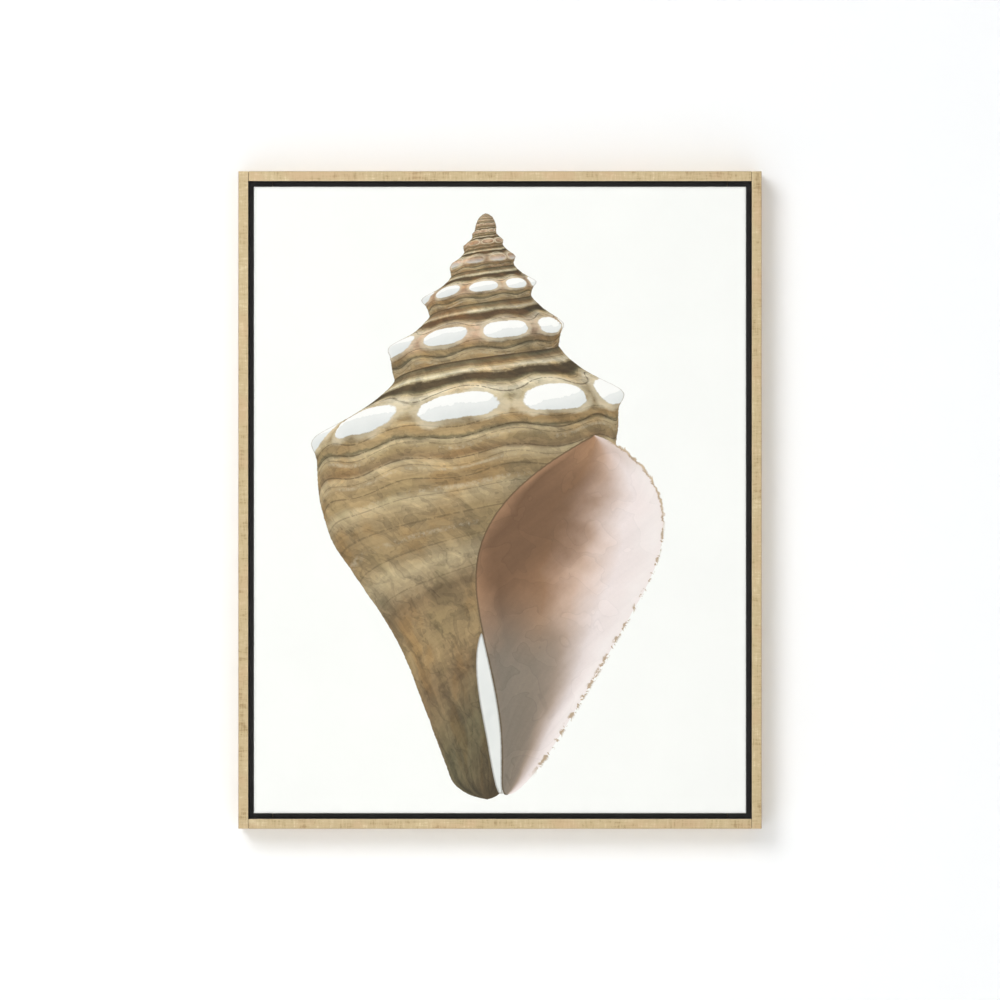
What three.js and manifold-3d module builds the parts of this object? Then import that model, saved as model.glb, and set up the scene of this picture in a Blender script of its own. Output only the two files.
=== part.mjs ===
// A canvas print, 22 by 28 inches, in a float frame. The canvas is wrapped round a wooden
// stretcher and screwed from behind onto the inner leg of an L-shaped moulding, so that a
// narrow dark channel shows all round it. Two sawtooth hangers carry the frame on nails, and
// two pads at the bottom corners keep it upright against the wall.
//
// Millimetres. +Z is up, the picture faces -Y, and the wall is the plane Y = 0. The origin is
// on the wall, midway between the hangers and level with their notches.
import * as THREE from "three";
import { mergeVertices } from "three/addons/utils/BufferGeometryUtils.js";
import Module from "manifold-3d";

const wasm = await Module();
wasm.setup();

// ---- Driving dimensions ----
const CANVAS_WIDTH = 558.8; // 22 in
const CANVAS_HEIGHT = 711.2; // 28 in
const FACE = 11.1; // front of the moulding, seen as the pale border
const CHANNEL = 6.35; // gap between the moulding and the canvas
const FRAME_DEPTH = 44.5;
const RECESS = 2.4; // from the moulding's front edge back to the canvas
const ARRIS = 0.6; // chamfer on the moulding's front edges
const LEG_THICK = 9; // the moulding's inner leg, behind the canvas
const LEG_UNDER = 20; // how far that leg reaches behind the canvas
const FIT = 0.3; // clearance wherever two pieces meet

const CLOTH = 0.6;
const HEM = 30; // canvas folded over the back of the stretcher
const BAR = { width: 38, lip: 6, slope: 3 }; // lip: flat front edge that carries the canvas
const BRACE = { width: 38, thick: 12 };
const TENON = { length: 14, width: 22, thick: 6 };

const SCREW = { head: 4, shank: 2, neck: 2.4, length: 24, sink: 0.4, slot: 2.4, slotWide: 0.9 };
const SCREW_INSET = 10; // from the canvas's edge
const STAPLE = { crown: 10, wide: 1.2, thick: 0.6, leg: 8 };
const STAPLE_INSET = 25; // from the canvas's edge, clear of the moulding's leg
const STAPLE_END = 25; // from a row's last staple to the next row's line
const STAPLES_ACROSS = 7;
const STAPLES_UP = 8; // an even number, so that none meets the brace's tenon

const PAD = { radius: 6, thick: 3 }; // its thickness stands the frame off the wall
const TOP_TO_NOTCH = 15; // from the top of the frame down to the hangers' notches
const HANGER = { length: 60, height: 12, thick: 1, rise: 1.4, foot: 9, ramp: 3, offset: 190 };
const TOOTH = { pitch: 5, depth: 2.2, count: 7 };
const NAIL = { head: 2.5, headThick: 0.9, shank: 0.9, length: 8, point: 2 };
const SIDES = 24; // facets round a turned piece

// ---- Places that follow from them ----
const halfCanvas = CANVAS_WIDTH / 2;
const halfWidth = halfCanvas + CHANNEL + FACE;
const height = CANVAS_HEIGHT + 2 * (CHANNEL + FACE);
const top = TOP_TO_NOTCH;
const bottom = top - height;
const middle = (top + bottom) / 2;
const canvasTop = middle + CANVAS_HEIGHT / 2;
const canvasBottom = middle - CANVAS_HEIGHT / 2;

const back = -PAD.thick; // the moulding's back face
const front = back - FRAME_DEPTH;
const legFront = back - LEG_THICK;
const ring = FACE + CHANNEL + LEG_UNDER; // width of the moulding seen from behind
const hemBack = legFront - FIT;
const canvasFront = front + RECESS;
const barBack = hemBack - CLOTH - FIT;
const barFront = canvasFront + CLOTH + FIT;
const barInset = CLOTH + FIT; // from the canvas's edge to the stretcher's
const past = 1; // how far a cutter runs past what it cuts

// ---- Solids ----
function solid(geometry) {
  const bare = new THREE.BufferGeometry();
  bare.setAttribute("position", geometry.getAttribute("position"));
  bare.setIndex(geometry.index);
  const merged = mergeVertices(bare, 1e-4);
  return new wasm.Manifold(
    new wasm.Mesh({
      numProp: 3,
      vertProperties: new Float32Array(merged.getAttribute("position").array),
      triVerts: new Uint32Array(merged.index.array),
    }),
  );
}

function shown(body) {
  const { vertProperties, triVerts } = body.getMesh();
  const shared = new THREE.BufferGeometry();
  shared.setAttribute("position", new THREE.BufferAttribute(vertProperties, 3));
  shared.setIndex(new THREE.BufferAttribute(triVerts, 1));
  const faceted = shared.toNonIndexed();
  faceted.computeVertexNormals();
  return faceted;
}

function cut(body, cutters) {
  return cutters.reduce((left, cutter) => left.subtract(cutter), body);
}

// A box between two opposite corners, given in any order.
function box(a, b) {
  const [x, y, z] = a.map((value, axis) => (value + b[axis]) / 2);
  const [width, depth, tall] = a.map((value, axis) => Math.abs(value - b[axis]));
  return new THREE.BoxGeometry(width, depth, tall).translate(x, y, z);
}

// An outline drawn in (x, y) and pulled out along +Z, to the given length each side of zero.
function pulled(points, halfLength) {
  const shape = new THREE.Shape(points.map(([x, y]) => new THREE.Vector2(x, y)));
  const made = new THREE.ExtrudeGeometry(shape, { depth: 2 * halfLength, bevelEnabled: false });
  return made.translate(0, 0, -halfLength);
}

// A solid turned about the Y axis, from [radius, y] points, lowest y first.
function turned(points) {
  return new THREE.LatheGeometry(points.map(([r, y]) => new THREE.Vector2(r, y)), SIDES);
}

function spaced(count, span) {
  return Array.from({ length: count }, (_, i) => (i / (count - 1) - 0.5) * span);
}

// ---- The assembly ----
const finishes = {
  frame: { color: 0xd8c296, roughness: 0.5, metalness: 0.2 },
  stretcher: { color: 0xdcc199, roughness: 0.8, metalness: 0 },
  canvas: { color: 0xf9f9f5, roughness: 0.85, metalness: 0 },
  screw: { color: 0x8f8a80, roughness: 0.35, metalness: 0.9 },
  staple: { color: 0xb9bcc0, roughness: 0.3, metalness: 0.9 },
  hanger: { color: 0xb9a36b, roughness: 0.35, metalness: 0.9 },
  nail: { color: 0xb9a36b, roughness: 0.35, metalness: 0.9 },
  pad: { color: 0x3a3a3a, roughness: 0.9, metalness: 0 },
};

const framedPrint = new THREE.Group();

function add(name, finish, geometry) {
  const mesh = new THREE.Mesh(geometry, new THREE.MeshStandardMaterial(finishes[finish]));
  mesh.name = name;
  framedPrint.add(mesh);
  return mesh;
}

// ---- Screws: two through each side of the moulding, into the stretcher ----
const screwAcross = halfCanvas - SCREW_INSET;
const screwPlaces = [
  [-screwAcross, middle + height / 4],
  [-screwAcross, middle - height / 4],
  [screwAcross, middle + height / 4],
  [screwAcross, middle - height / 4],
  [-halfWidth / 2, canvasTop - SCREW_INSET],
  [halfWidth / 2, canvasTop - SCREW_INSET],
  [-halfWidth / 2, canvasBottom + SCREW_INSET],
  [halfWidth / 2, canvasBottom + SCREW_INSET],
];
const screwTop = back - SCREW.sink;

function screw() {
  const tip = screwTop - SCREW.length;
  const blank = turned([
    [0, tip],
    [SCREW.shank, tip + 2 * SCREW.shank],
    [SCREW.shank, screwTop - SCREW.neck],
    [SCREW.head, screwTop - SCREW.sink],
    [SCREW.head, screwTop],
    [0, screwTop],
  ]);
  const floor = screwTop - SCREW.neck / 2;
  const reach = SCREW.slot;
  const half = SCREW.slotWide / 2;
  const across = solid(box([-reach, floor, -half], [reach, screwTop + past, half]));
  const upright = solid(box([-half, floor, -reach], [half, screwTop + past, reach]));
  return cut(solid(blank), [across, upright]);
}

// The countersunk hole that a screw goes down, open at the moulding's back.
function screwHole([x, z]) {
  const head = SCREW.head + FIT;
  const shank = SCREW.shank + FIT;
  const tip = screwTop - SCREW.length - FIT;
  const hole = turned([
    [0, tip],
    [shank, tip + 2 * SCREW.shank],
    [shank, screwTop - SCREW.neck - FIT],
    [head, screwTop - SCREW.sink - FIT],
    [head, back + past],
    [0, back + past],
  ]);
  return solid(hole.translate(x, 0, z));
}

const screwHoles = screwPlaces.map(screwHole);

// ---- Staples: a row along each side of the hem ----
const stapleAcross = halfCanvas - STAPLE_INSET;
const stapleUp = CANVAS_HEIGHT / 2 - STAPLE_INSET;

function stapleRow(count, span, placed) {
  return spaced(count, span - 2 * STAPLE_END).map(placed);
}

const staplePlaces = [
  ...stapleRow(STAPLES_ACROSS, 2 * stapleAcross, (x) => ({ x, z: middle + stapleUp, turn: 0 })),
  ...stapleRow(STAPLES_ACROSS, 2 * stapleAcross, (x) => ({ x, z: middle - stapleUp, turn: 0 })),
  ...stapleRow(STAPLES_UP, 2 * stapleUp, (z) => ({ x: -stapleAcross, z: middle + z, turn: Math.PI / 2 })),
  ...stapleRow(STAPLES_UP, 2 * stapleUp, (z) => ({ x: stapleAcross, z: middle + z, turn: Math.PI / 2 })),
];

function staple() {
  const half = STAPLE.crown / 2;
  const inner = half - STAPLE.thick;
  const under = hemBack + FIT;
  const crown = under + STAPLE.thick;
  const tip = hemBack - STAPLE.leg;
  const points = [
    [-half, tip],
    [-inner, tip],
    [-inner, under],
    [inner, under],
    [inner, tip],
    [half, tip],
    [half, crown],
    [-half, crown],
  ];
  return pulled(points, STAPLE.wide / 2);
}

// The two holes that a staple's legs make.
function stapleHoles({ x, z, turn }) {
  const outer = STAPLE.crown / 2 + FIT;
  const inner = STAPLE.crown / 2 - STAPLE.thick - FIT;
  const half = STAPLE.wide / 2 + FIT;
  const tip = hemBack - STAPLE.leg - FIT;
  return [-1, 1].map((side) =>
    solid(
      box([side * inner, tip, -half], [side * outer, hemBack + past, half])
        .rotateY(turn)
        .translate(x, 0, z),
    ),
  );
}

const legHoles = staplePlaces.flatMap(stapleHoles);

// ---- Hangers: toothed strips, each held by two nails ----
const hangerMiddle = HANGER.height / 2 - TOOTH.depth;
const nailPlaces = [-1, 1].flatMap((side) =>
  [-1, 1].map((end) => [side * HANGER.offset + (end * (HANGER.length - HANGER.foot)) / 2, hangerMiddle]),
);

function nailHole([x, z], radius, from) {
  const hole = turned([
    [0, from],
    [radius, from],
    [radius, past],
    [0, past],
  ]);
  return solid(hole.translate(x, 0, z));
}

function nail() {
  const tip = back - NAIL.length;
  const seat = back + HANGER.thick + 2 * FIT; // the head's underside, on the hanger's foot
  return turned([
    [0, tip],
    [NAIL.shank, tip + NAIL.point],
    [NAIL.shank, seat],
    [NAIL.head, seat],
    [NAIL.head * 0.8, seat + NAIL.headThick * 0.8],
    [0, seat + NAIL.headThick],
  ]);
}

// The strip's feet lie on the moulding, and its middle stands off to clear the wall nail.
function hanger(side) {
  const end = HANGER.length / 2;
  const foot = end - HANGER.foot;
  const ridge = foot - HANGER.ramp;
  const low = back + FIT;
  const high = low + HANGER.rise;
  const under = [[-end, low], [-foot, low], [-ridge, high], [ridge, high], [foot, low], [end, low]];
  const over = under.map(([x, y]) => [x, y + HANGER.thick]).reverse();
  const strip = solid(pulled([...under, ...over], HANGER.height / 2).translate(0, 0, hangerMiddle));
  const notches = spaced(TOOTH.count, (TOOTH.count - 1) * TOOTH.pitch).map((x) => {
    const vee = [[x - TOOTH.pitch / 2, -TOOTH.depth], [x + TOOTH.pitch / 2, -TOOTH.depth], [x, 0]];
    return solid(pulled(vee, -back + past).rotateX(Math.PI / 2));
  });
  const holes = [-1, 1].map((end) =>
    nailHole([(end * (HANGER.length - HANGER.foot)) / 2, hangerMiddle], NAIL.shank + FIT, back - past),
  );
  return shown(cut(strip, [...notches, ...holes])).translate(side * HANGER.offset, 0, 0);
}

// ---- The moulding: stiles run full height, and rails fit between their walls ----
// Its section is [inwards from the outer side, depth]: a tall wall and a short inner leg.
const section = [
  [0, back],
  [0, front + ARRIS],
  [ARRIS, front],
  [FACE - ARRIS, front],
  [FACE, front + ARRIS],
  [FACE, legFront],
  [ring, legFront],
  [ring, back],
];

function stile(side) {
  const points = section.map(([inwards, y]) => [side * (halfWidth - inwards), y]);
  return solid(pulled(points, height / 2).translate(0, 0, middle));
}

// A rail's back is cut short where the stiles' inner legs run past it.
function rail(up) {
  const stop = halfWidth - ring - FIT;
  const beyond = halfWidth + past;
  const legs = [-1, 1].map((side) =>
    solid(box([side * stop, legFront - FIT, bottom - past], [side * beyond, back + past, top + past])),
  );
  const whole = pulled(section, halfWidth - FACE - FIT)
    .rotateY((up * Math.PI) / 2)
    .translate(0, 0, up > 0 ? top : bottom);
  return cut(solid(whole), legs);
}

// ---- The stretcher: four bars mitred at the corners, and a brace tenoned across ----
// A bar's front falls away behind its lip, so that the cloth touches only the lip.
const barSection = [
  [0, barBack],
  [0, barFront],
  [BAR.lip, barFront],
  [BAR.width, barFront + BAR.slope],
  [BAR.width, barBack],
];

// A bar of the given half length, lying along X, with its outer side up at the given z.
function bar(halfLength, outerSide) {
  const whole = solid(pulled(barSection, halfLength).rotateY(Math.PI / 2));
  const end = halfLength - FIT;
  const mitred = [
    [-end, 0],
    [end, 0],
    [end - BAR.width - past, -BAR.width - past],
    [-end + BAR.width + past, -BAR.width - past],
  ];
  const depth = -barFront + past;
  const wedge = solid(pulled(mitred, depth).rotateX(Math.PI / 2));
  return shown(whole.intersect(wedge)).translate(0, 0, outerSide);
}

const barAcross = halfCanvas - barInset;
const barUp = CANVAS_HEIGHT / 2 - barInset;

function levelBar(up) {
  return bar(barAcross, barUp)
    .rotateY(up > 0 ? 0 : Math.PI)
    .translate(0, 0, middle);
}

function uprightBar(side) {
  return bar(barUp, barAcross)
    .rotateY((side * Math.PI) / 2)
    .translate(0, 0, middle);
}

const braceEnd = barAcross - BAR.width;
const braceMiddle = barBack - BRACE.thick / 2;

function tenon(side, clearance) {
  const reach = braceEnd + TENON.length + clearance;
  const halfThick = TENON.thick / 2 + clearance;
  const halfWide = TENON.width / 2 + clearance;
  return solid(
    box(
      [side * (braceEnd - past), braceMiddle - halfThick, middle - halfWide],
      [side * reach, braceMiddle + halfThick, middle + halfWide],
    ),
  );
}

function brace() {
  const end = braceEnd - FIT;
  const halfWide = BRACE.width / 2;
  const board = box([-end, barBack - BRACE.thick, middle - halfWide], [end, barBack, middle + halfWide]);
  return solid(board).add(tenon(-1, 0)).add(tenon(1, 0));
}

// ---- The canvas: a shallow tray of cloth whose edges are folded over the back ----
function canvas() {
  const inside = halfCanvas - CLOTH;
  const mouth = halfCanvas - HEM;
  const whole = box([-halfCanvas, canvasFront, canvasBottom], [halfCanvas, hemBack, canvasTop]);
  const hollow = box(
    [-inside, canvasFront + CLOTH, canvasBottom + CLOTH],
    [inside, hemBack - CLOTH, canvasTop - CLOTH],
  );
  const opening = box(
    [-mouth, hemBack - CLOTH - past, canvasBottom + HEM],
    [mouth, hemBack + past, canvasTop - HEM],
  );
  return cut(solid(whole), [solid(hollow), solid(opening)]);
}

function pad(side) {
  const disc = turned([
    [0, back + FIT],
    [PAD.radius, back + FIT],
    [PAD.radius, -ARRIS],
    [PAD.radius - ARRIS, 0],
    [0, 0],
  ]);
  return disc.translate(side * (halfWidth - ring / 2), 0, bottom + ring / 2);
}

// ---- Put together ----
const nailHoles = nailPlaces.map((at) => nailHole(at, NAIL.shank + FIT, back - NAIL.length - FIT));
const fastenings = [...screwHoles, ...legHoles];

add("frame_stile_left", "frame", shown(cut(stile(-1), screwHoles)));
add("frame_stile_right", "frame", shown(cut(stile(1), screwHoles)));
add("frame_rail_top", "frame", shown(cut(rail(1), [...screwHoles, ...nailHoles])));
add("frame_rail_bottom", "frame", shown(cut(rail(-1), screwHoles)));

add("canvas", "canvas", shown(cut(canvas(), fastenings)));
add("stretcher_top", "stretcher", shown(cut(solid(levelBar(1)), fastenings)));
add("stretcher_bottom", "stretcher", shown(cut(solid(levelBar(-1)), fastenings)));
add("stretcher_left", "stretcher", shown(cut(solid(uprightBar(-1)), [...fastenings, tenon(-1, FIT)])));
add("stretcher_right", "stretcher", shown(cut(solid(uprightBar(1)), [...fastenings, tenon(1, FIT)])));
add("stretcher_brace", "stretcher", shown(brace()));

screwPlaces.forEach(([x, z], i) => add(`screw_${i + 1}`, "screw", shown(screw())).position.set(x, 0, z));
nailPlaces.forEach(([x, z], i) => add(`hanger_nail_${i + 1}`, "nail", nail()).position.set(x, 0, z));
staplePlaces.forEach(({ x, z, turn }, i) => {
  const mesh = add(`staple_${String(i + 1).padStart(2, "0")}`, "staple", staple());
  mesh.position.set(x, 0, z);
  mesh.rotation.y = turn;
});
add("hanger_left", "hanger", hanger(-1));
add("hanger_right", "hanger", hanger(1));
add("pad_left", "pad", pad(-1));
add("pad_right", "pad", pad(1));

export default framedPrint;
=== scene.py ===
"""A canvas print in a float frame: mouldings, stretched canvas, stretcher and fastenings.

The frame's solids give the place of every piece and its main sizes, in metres. Small sizes that
they lack are named below, or are settings. +X is to the right, +Z is up, the picture faces -Y,
and the wall is the plane Y = 0.
"""
import math
from contextlib import contextmanager

import bmesh
import bpy
import numpy as np
from mathutils import Matrix, Vector


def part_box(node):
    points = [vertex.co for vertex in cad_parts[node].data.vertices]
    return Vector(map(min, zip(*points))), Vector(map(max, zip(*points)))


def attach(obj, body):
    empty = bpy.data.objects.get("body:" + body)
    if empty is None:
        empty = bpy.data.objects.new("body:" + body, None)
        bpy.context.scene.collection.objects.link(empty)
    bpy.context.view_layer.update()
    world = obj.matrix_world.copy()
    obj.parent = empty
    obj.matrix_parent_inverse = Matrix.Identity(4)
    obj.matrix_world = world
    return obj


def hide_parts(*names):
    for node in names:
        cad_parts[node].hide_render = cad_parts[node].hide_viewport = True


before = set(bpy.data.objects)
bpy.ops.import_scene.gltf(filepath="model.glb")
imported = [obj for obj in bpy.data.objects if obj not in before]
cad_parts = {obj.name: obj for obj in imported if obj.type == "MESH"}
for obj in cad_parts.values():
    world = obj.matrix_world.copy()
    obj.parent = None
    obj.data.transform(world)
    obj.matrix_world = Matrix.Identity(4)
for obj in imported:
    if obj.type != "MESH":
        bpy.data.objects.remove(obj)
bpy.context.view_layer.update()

bl_info = {
    "name": "Float Framed Canvas",
    "version": (1, 0, 0),
    "blender": (4, 5, 0),
    "location": "3D View > Sidebar > Framed Canvas",
    "description": "Models a canvas print with a painted shell study in a pale gold float frame",
    "category": "Add Mesh",
}

# ---- Places, read from the frame ----
GAP = 0.0003  # clearance between neighbouring solids
canvas_low, canvas_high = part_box("canvas")
rail_low, rail_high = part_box("frame_rail_top")
stile_low, stile_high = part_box("frame_stile_right")
side_bar_low, side_bar_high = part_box("stretcher_right")
brace_low, brace_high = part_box("stretcher_brace")

FRAME_X = stile_high.x
FRAME_TOP = stile_high.z
FRAME_BOTTOM = stile_low.z
MIDDLE_Z = (FRAME_TOP + FRAME_BOTTOM) / 2
HALF_HEIGHT = (FRAME_TOP - FRAME_BOTTOM) / 2
FRONT = stile_low.y
BACK = stile_high.y
LEG_FRONT = canvas_high.y + GAP  # front of the moulding's leg, which lies behind the canvas
FACE = FRAME_X - rail_high.x - GAP  # width of the moulding's wall, seen from the front
RING = stile_high.x - stile_low.x  # width of the moulding and its leg, seen from behind
LEG_STOP = FRAME_X - RING - GAP  # where the rails' legs end, between the stiles' legs
CANVAS_X = canvas_high.x
CANVAS_HALF_Z = (canvas_high.z - canvas_low.z) / 2
BAR_WIDTH = side_bar_high.x - side_bar_low.x
SIDES = (-1, 1)
FRONT_END, BACK_END = 0, 1  # ends of a solid along Y
CLEAR = 0.001  # how far a cutter reaches past what it cuts

# ---- Small sizes that the frame doesn't give ----
GOLD_LIP = 0.0012  # gold turned over the moulding's front edge into the channel
HEM_EDGE = (-0.0015, -0.0005)  # where the hem's folds and the painted shade in its creases fade in, from the canvas's back
SCREW_SHANK = 0.002  # radius over the threads
SCREW_CORE = 0.72 * SCREW_SHANK  # radius between the threads
SCREW_PITCH = 0.0018  # from one thread to the next
SCREW_NECK = 0.0024  # depth of the countersunk head
SCREW_RIM = 0.0004  # straight edge of the head
SCREW_THREAD = (  # one thread, as (share of the pitch, radius)
    (0.35, SCREW_SHANK), (0.45, SCREW_SHANK), (0.8, SCREW_CORE), (1.0, SCREW_CORE))
CROSS_REACH, CROSS_HALF = 0.0024, 0.00045  # half the length and half the width of the cross's slots
STAPLE_WIRE = 0.0006  # thickness
HANGER_SHEET = 0.001  # thickness
HANGER_FOOT = 0.009  # flat end under a nail
HANGER_RAMP = 0.003  # between a foot and the raised middle
HANGER_CORNER = 0.0026  # rounding
TOOTH_STEP, TOOTH_DEPTH = 0.0025, 0.0022  # from a tooth to the next notch, and how deep the notch is
NOTCHES = 3  # on each side of the middle one
NAIL_HOLE = 0.0012  # radius
NAIL_SHANK, NAIL_HEAD, NAIL_POINT = 0.0009, 0.0009, 0.002  # radius, thickness and length
PAD_BASE = 0.55  # share of the pad's height and radius that its rounding leaves
PAD_DISH = 0.0003  # depth of the dip in its top
WHITE = (1, 1, 1)
DAYLIGHT = (0.97, 0.985, 1.0)  # colour of the lamps and of the room


def colour(code):
    """Six hex digits of a paint colour, as the linear values that shaders use."""
    parts = [int(code[i:i + 2], 16) / 255 for i in (0, 2, 4)]
    return tuple(((p + 0.055) / 1.055) ** 2.4 if p > 0.04045 else p / 12.92 for p in parts)


def length(name, description, default):
    return bpy.props.FloatProperty(
        name=name, description=description, default=default, unit="LENGTH", precision=5)


def number(name, description, default, subtype="NONE"):
    return bpy.props.FloatProperty(name=name, description=description, default=default, subtype=subtype)


def paint(name, description, code):
    return bpy.props.FloatVectorProperty(
        name=name, description=description, default=colour(code), subtype="COLOR", min=0, max=1)


# ---- What a user can change ----
class MouldingSettings(bpy.types.PropertyGroup):
    """The float frame's moulding."""
    ease: length("Eased edge", "Rounding on the moulding's long edges", 0.0006)
    gold: paint("Gold", "Main colour of the pale gold wash", "C7B187")
    # gold_dark also gives the painted shade along the outer arrises, mixed with wear.
    gold_dark: paint("Gold, worn", "Colour where the wash is thin", "A2865A")
    # This colour is also the painted highlight along the front's inner edge.
    gold_light: paint("Gold, high", "Colour where the wash is thick", "DCCAA1")
    gold_warm: paint("Gold, warm", "Pinkish patches in the wash", "CDAC86")
    channel: paint("Channel", "Paint inside the moulding", "666260")
    channel_worn: paint("Channel, brushed", "Paler brush marks in the channel", "75716D")
    bare: paint("Bare wood", "Wood on the back of the moulding", "D2B588")
    bare_dark: paint("Bare wood, rings", "Rings in the wood on the back", "B08E5E")


class CanvasSettings(bpy.types.PropertyGroup):
    """The stretched cloth."""
    thick: length("Cloth thickness", "Thickness of the coated canvas", 0.00045)
    fold: length("Fold radius", "Radius of the cloth over the stretcher's edges", 0.0012)
    hem: length("Hem", "Cloth folded over the back", 0.030)
    columns: bpy.props.IntProperty(name="Columns", description="Faces across the front", default=236)
    rows: bpy.props.IntProperty(name="Rows", description="Faces up the front", default=300)
    thread: length("Thread pitch", "Distance from one thread to the next", 0.0009)
    ground: paint("Ground", "Coated face of the canvas", "F9F9F4")
    raw: paint("Raw cloth", "Uncoated back of the canvas", "E4DCC8")


class StudySettings(bpy.types.PropertyGroup):
    """The painted shell: a spire of growing whorls, a long body and an open mouth."""
    apex: bpy.props.FloatVectorProperty(
        name="Apex", description="Tip of the spire, from the canvas's middle", size=2,
        default=(-0.016, 0.325), unit="LENGTH")
    tip: bpy.props.FloatVectorProperty(
        name="Tip", description="End of the canal, from the canvas's middle", size=2,
        default=(-0.014, -0.339), unit="LENGTH")
    growth: number("Growth", "How many times larger each whorl is than the last", 1.62)
    first: length("First whorl", "From the apex to the first suture", 0.0245)
    body_whorl: number("Body whorl", "Number of the whorl that opens into the body", 4)
    knobs: number("Knobs", "Knobs in one turn of the shoulder", 8.4)
    tilt: number("Tilt", "How far the shell leans towards the eye, as a slope", 0.07)
    umber: paint("Umber", "Darkest wash, along the sutures", "55452C")
    olive: paint("Olive", "Cool dark wash beside the sutures", "6F6548")
    brown: paint("Brown", "Middle wash on the whorls", "8B7350")
    ochre: paint("Ochre", "Warm wash on the body", "A88F64")
    sand: paint("Sand", "Pale wash on the body", "C2AE86")
    cream: paint("Cream", "Thinnest wash", "E3D6B8")
    blush: paint("Blush", "Wash between the small knobs", "D9B596")
    honey: paint("Honey", "Warm glaze over the washes", "FFE3B4")
    mist: paint("Mist", "Cool glaze over the washes", "DDE2DA")
    russet: paint("Russet", "Reddish wash on the spire", "8A6440")
    rose: paint("Rose", "Deep colour inside the mouth", "735439")
    warm: paint("Warm", "Warm brown around the deep colour", "AA8260")
    shell_pink: paint("Pink", "Middle of the mouth", "D3B5A0")
    pearl: paint("Pearl", "Lip of the mouth", "EEE1DC")
    drab: paint("Drab", "Grey brown low in the mouth", "81786A")
    slate: paint("Slate", "Grey of the canal and of the knobs' shade", "DDDFDB")
    crumb: paint("Crumb", "Worn outer layer along the lip", "B99B73")
    bare: paint("Bare cloth", "Knobs left white", "F8F7F2")


class StretcherSettings(bpy.types.PropertyGroup):
    """The wooden stretcher behind the canvas."""
    ease: length("Eased edge", "Rounding on the bars", 0.0012)
    lip: length("Lip", "Flat front edge that carries the cloth", 0.006)
    slope: length("Fall", "How far the bar's front falls away behind the lip", 0.003)
    tenon: length("Tenon", "Length of the brace's tenons", 0.014)
    tenon_width: length("Tenon width", "Height of the brace's tenons", 0.022)
    tenon_thick: length("Tenon thickness", "Thickness of the brace's tenons", 0.006)
    light: paint("Sapwood", "Pale wood between the rings", "E3C99C")
    dark: paint("Ring", "Dark late wood", "BE925C")


class HardwareSettings(bpy.types.PropertyGroup):
    """Screws, staples, hangers, nails and pads."""
    zinc: paint("Zinc", "Plated screws", "A9A59A")
    steel: paint("Steel", "Staples", "C4C6C9")
    brass: paint("Brass", "Hangers and their nails", "B79A58")
    rubber: paint("Pad", "Pads at the bottom corners", "2B2B2C")


class StageSettings(bpy.types.PropertyGroup):
    """Wall, floor, lights and camera."""
    distance: length("Camera distance", "From the camera to the picture", 6.3)
    span: length("View width", "Width seen at the picture", 1.1346)
    room: length("Room", "Width of the wall and of the floor", 14.0)
    drop: length("Floor", "How far the floor is below the picture's middle", 1.5)
    wall: paint("Wall", "Pale wall behind the picture", "FFFFFF")
    floor: paint("Floor colour", "Pale floor below the picture", "F2F1EE")
    key: number("Key light", "Watts of the soft light at the upper left", 86)
    fill: number("Fill light", "Watts of the broad light in front", 74)
    back: number("Back light", "Watts of the soft light behind the picture", 95)
    overhead: number("Overhead light", "Watts of the broad light above and behind", 110)
    sky: number("Room light", "Strength of the light from all round", 0.25)


# ---- Working with operators ----
def pick_only(piece):
    bpy.ops.object.select_all(action="DESELECT")
    piece.select_set(True)
    bpy.context.view_layer.objects.active = piece


@contextmanager
def editing(piece):
    """Edit mode on one piece, with nothing in it selected."""
    pick_only(piece)
    bpy.ops.object.mode_set(mode="EDIT")
    bpy.ops.mesh.select_all(action="DESELECT")
    yield
    bpy.ops.object.mode_set(mode="OBJECT")


def select(piece, kind, test):
    """Selects the verts, edges or faces of the piece in edit mode that pass the test."""
    bpy.ops.mesh.select_mode(type={"verts": "VERT", "edges": "EDGE", "faces": "FACE"}[kind])
    bpy.ops.mesh.select_all(action="DESELECT")
    shape = bmesh.from_edit_mesh(piece.data)
    found = [part for part in getattr(shape, kind) if test(part)]
    if not found:
        raise RuntimeError(f"{piece.name}: nothing to select among its {kind}")
    for part in found:
        part.select_set(True)
    shape.select_flush_mode()
    bmesh.update_edit_mesh(piece.data)


def select_facing(piece, direction, test=lambda centre: True):
    """Selects the faces in edit mode that point one way and whose middle passes the test."""
    way = Vector(direction)
    select(piece, "faces", lambda face: face.normal.dot(way) > 0.9 and test(face.calc_center_median()))


def split(piece, point, normal):
    """Adds edges all round the piece in edit mode, where a plane crosses it."""
    bpy.ops.mesh.select_all(action="SELECT")
    bpy.ops.mesh.bisect(plane_co=point, plane_no=normal)


def extrude(offset):
    bpy.ops.mesh.extrude_region_move(TRANSFORM_OT_translate={"value": offset})


def settle(piece):
    """Puts the piece's place into its mesh."""
    pick_only(piece)
    bpy.ops.object.transform_apply(location=True, rotation=True, scale=True)


def named(name):
    piece = bpy.context.active_object
    piece.name = name
    piece.data.name = name
    settle(piece)
    return piece


def block(name, low, high):
    low, high = Vector(low), Vector(high)
    bpy.ops.mesh.primitive_cube_add(size=1, location=(low + high) / 2, scale=high - low)
    return named(name)


def cloth_grid(name, columns, rows, middle, wide, tall):
    """An upright sheet of even faces, square to Y."""
    bpy.ops.mesh.primitive_grid_add(
        x_subdivisions=columns, y_subdivisions=rows, size=1, location=middle, rotation=(math.pi / 2, 0, 0))
    bpy.ops.transform.resize(value=(wide, 1, tall), center_override=middle)
    return named(name)


def rod(name, radius, low_y, high_y, at=(0, 0), sides=32):
    """A round bar lying along Y."""
    bpy.ops.mesh.primitive_cylinder_add(
        vertices=sides, radius=radius, depth=high_y - low_y,
        location=(at[0], (low_y + high_y) / 2, at[1]), rotation=(math.pi / 2, 0, 0))
    return named(name)


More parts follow.
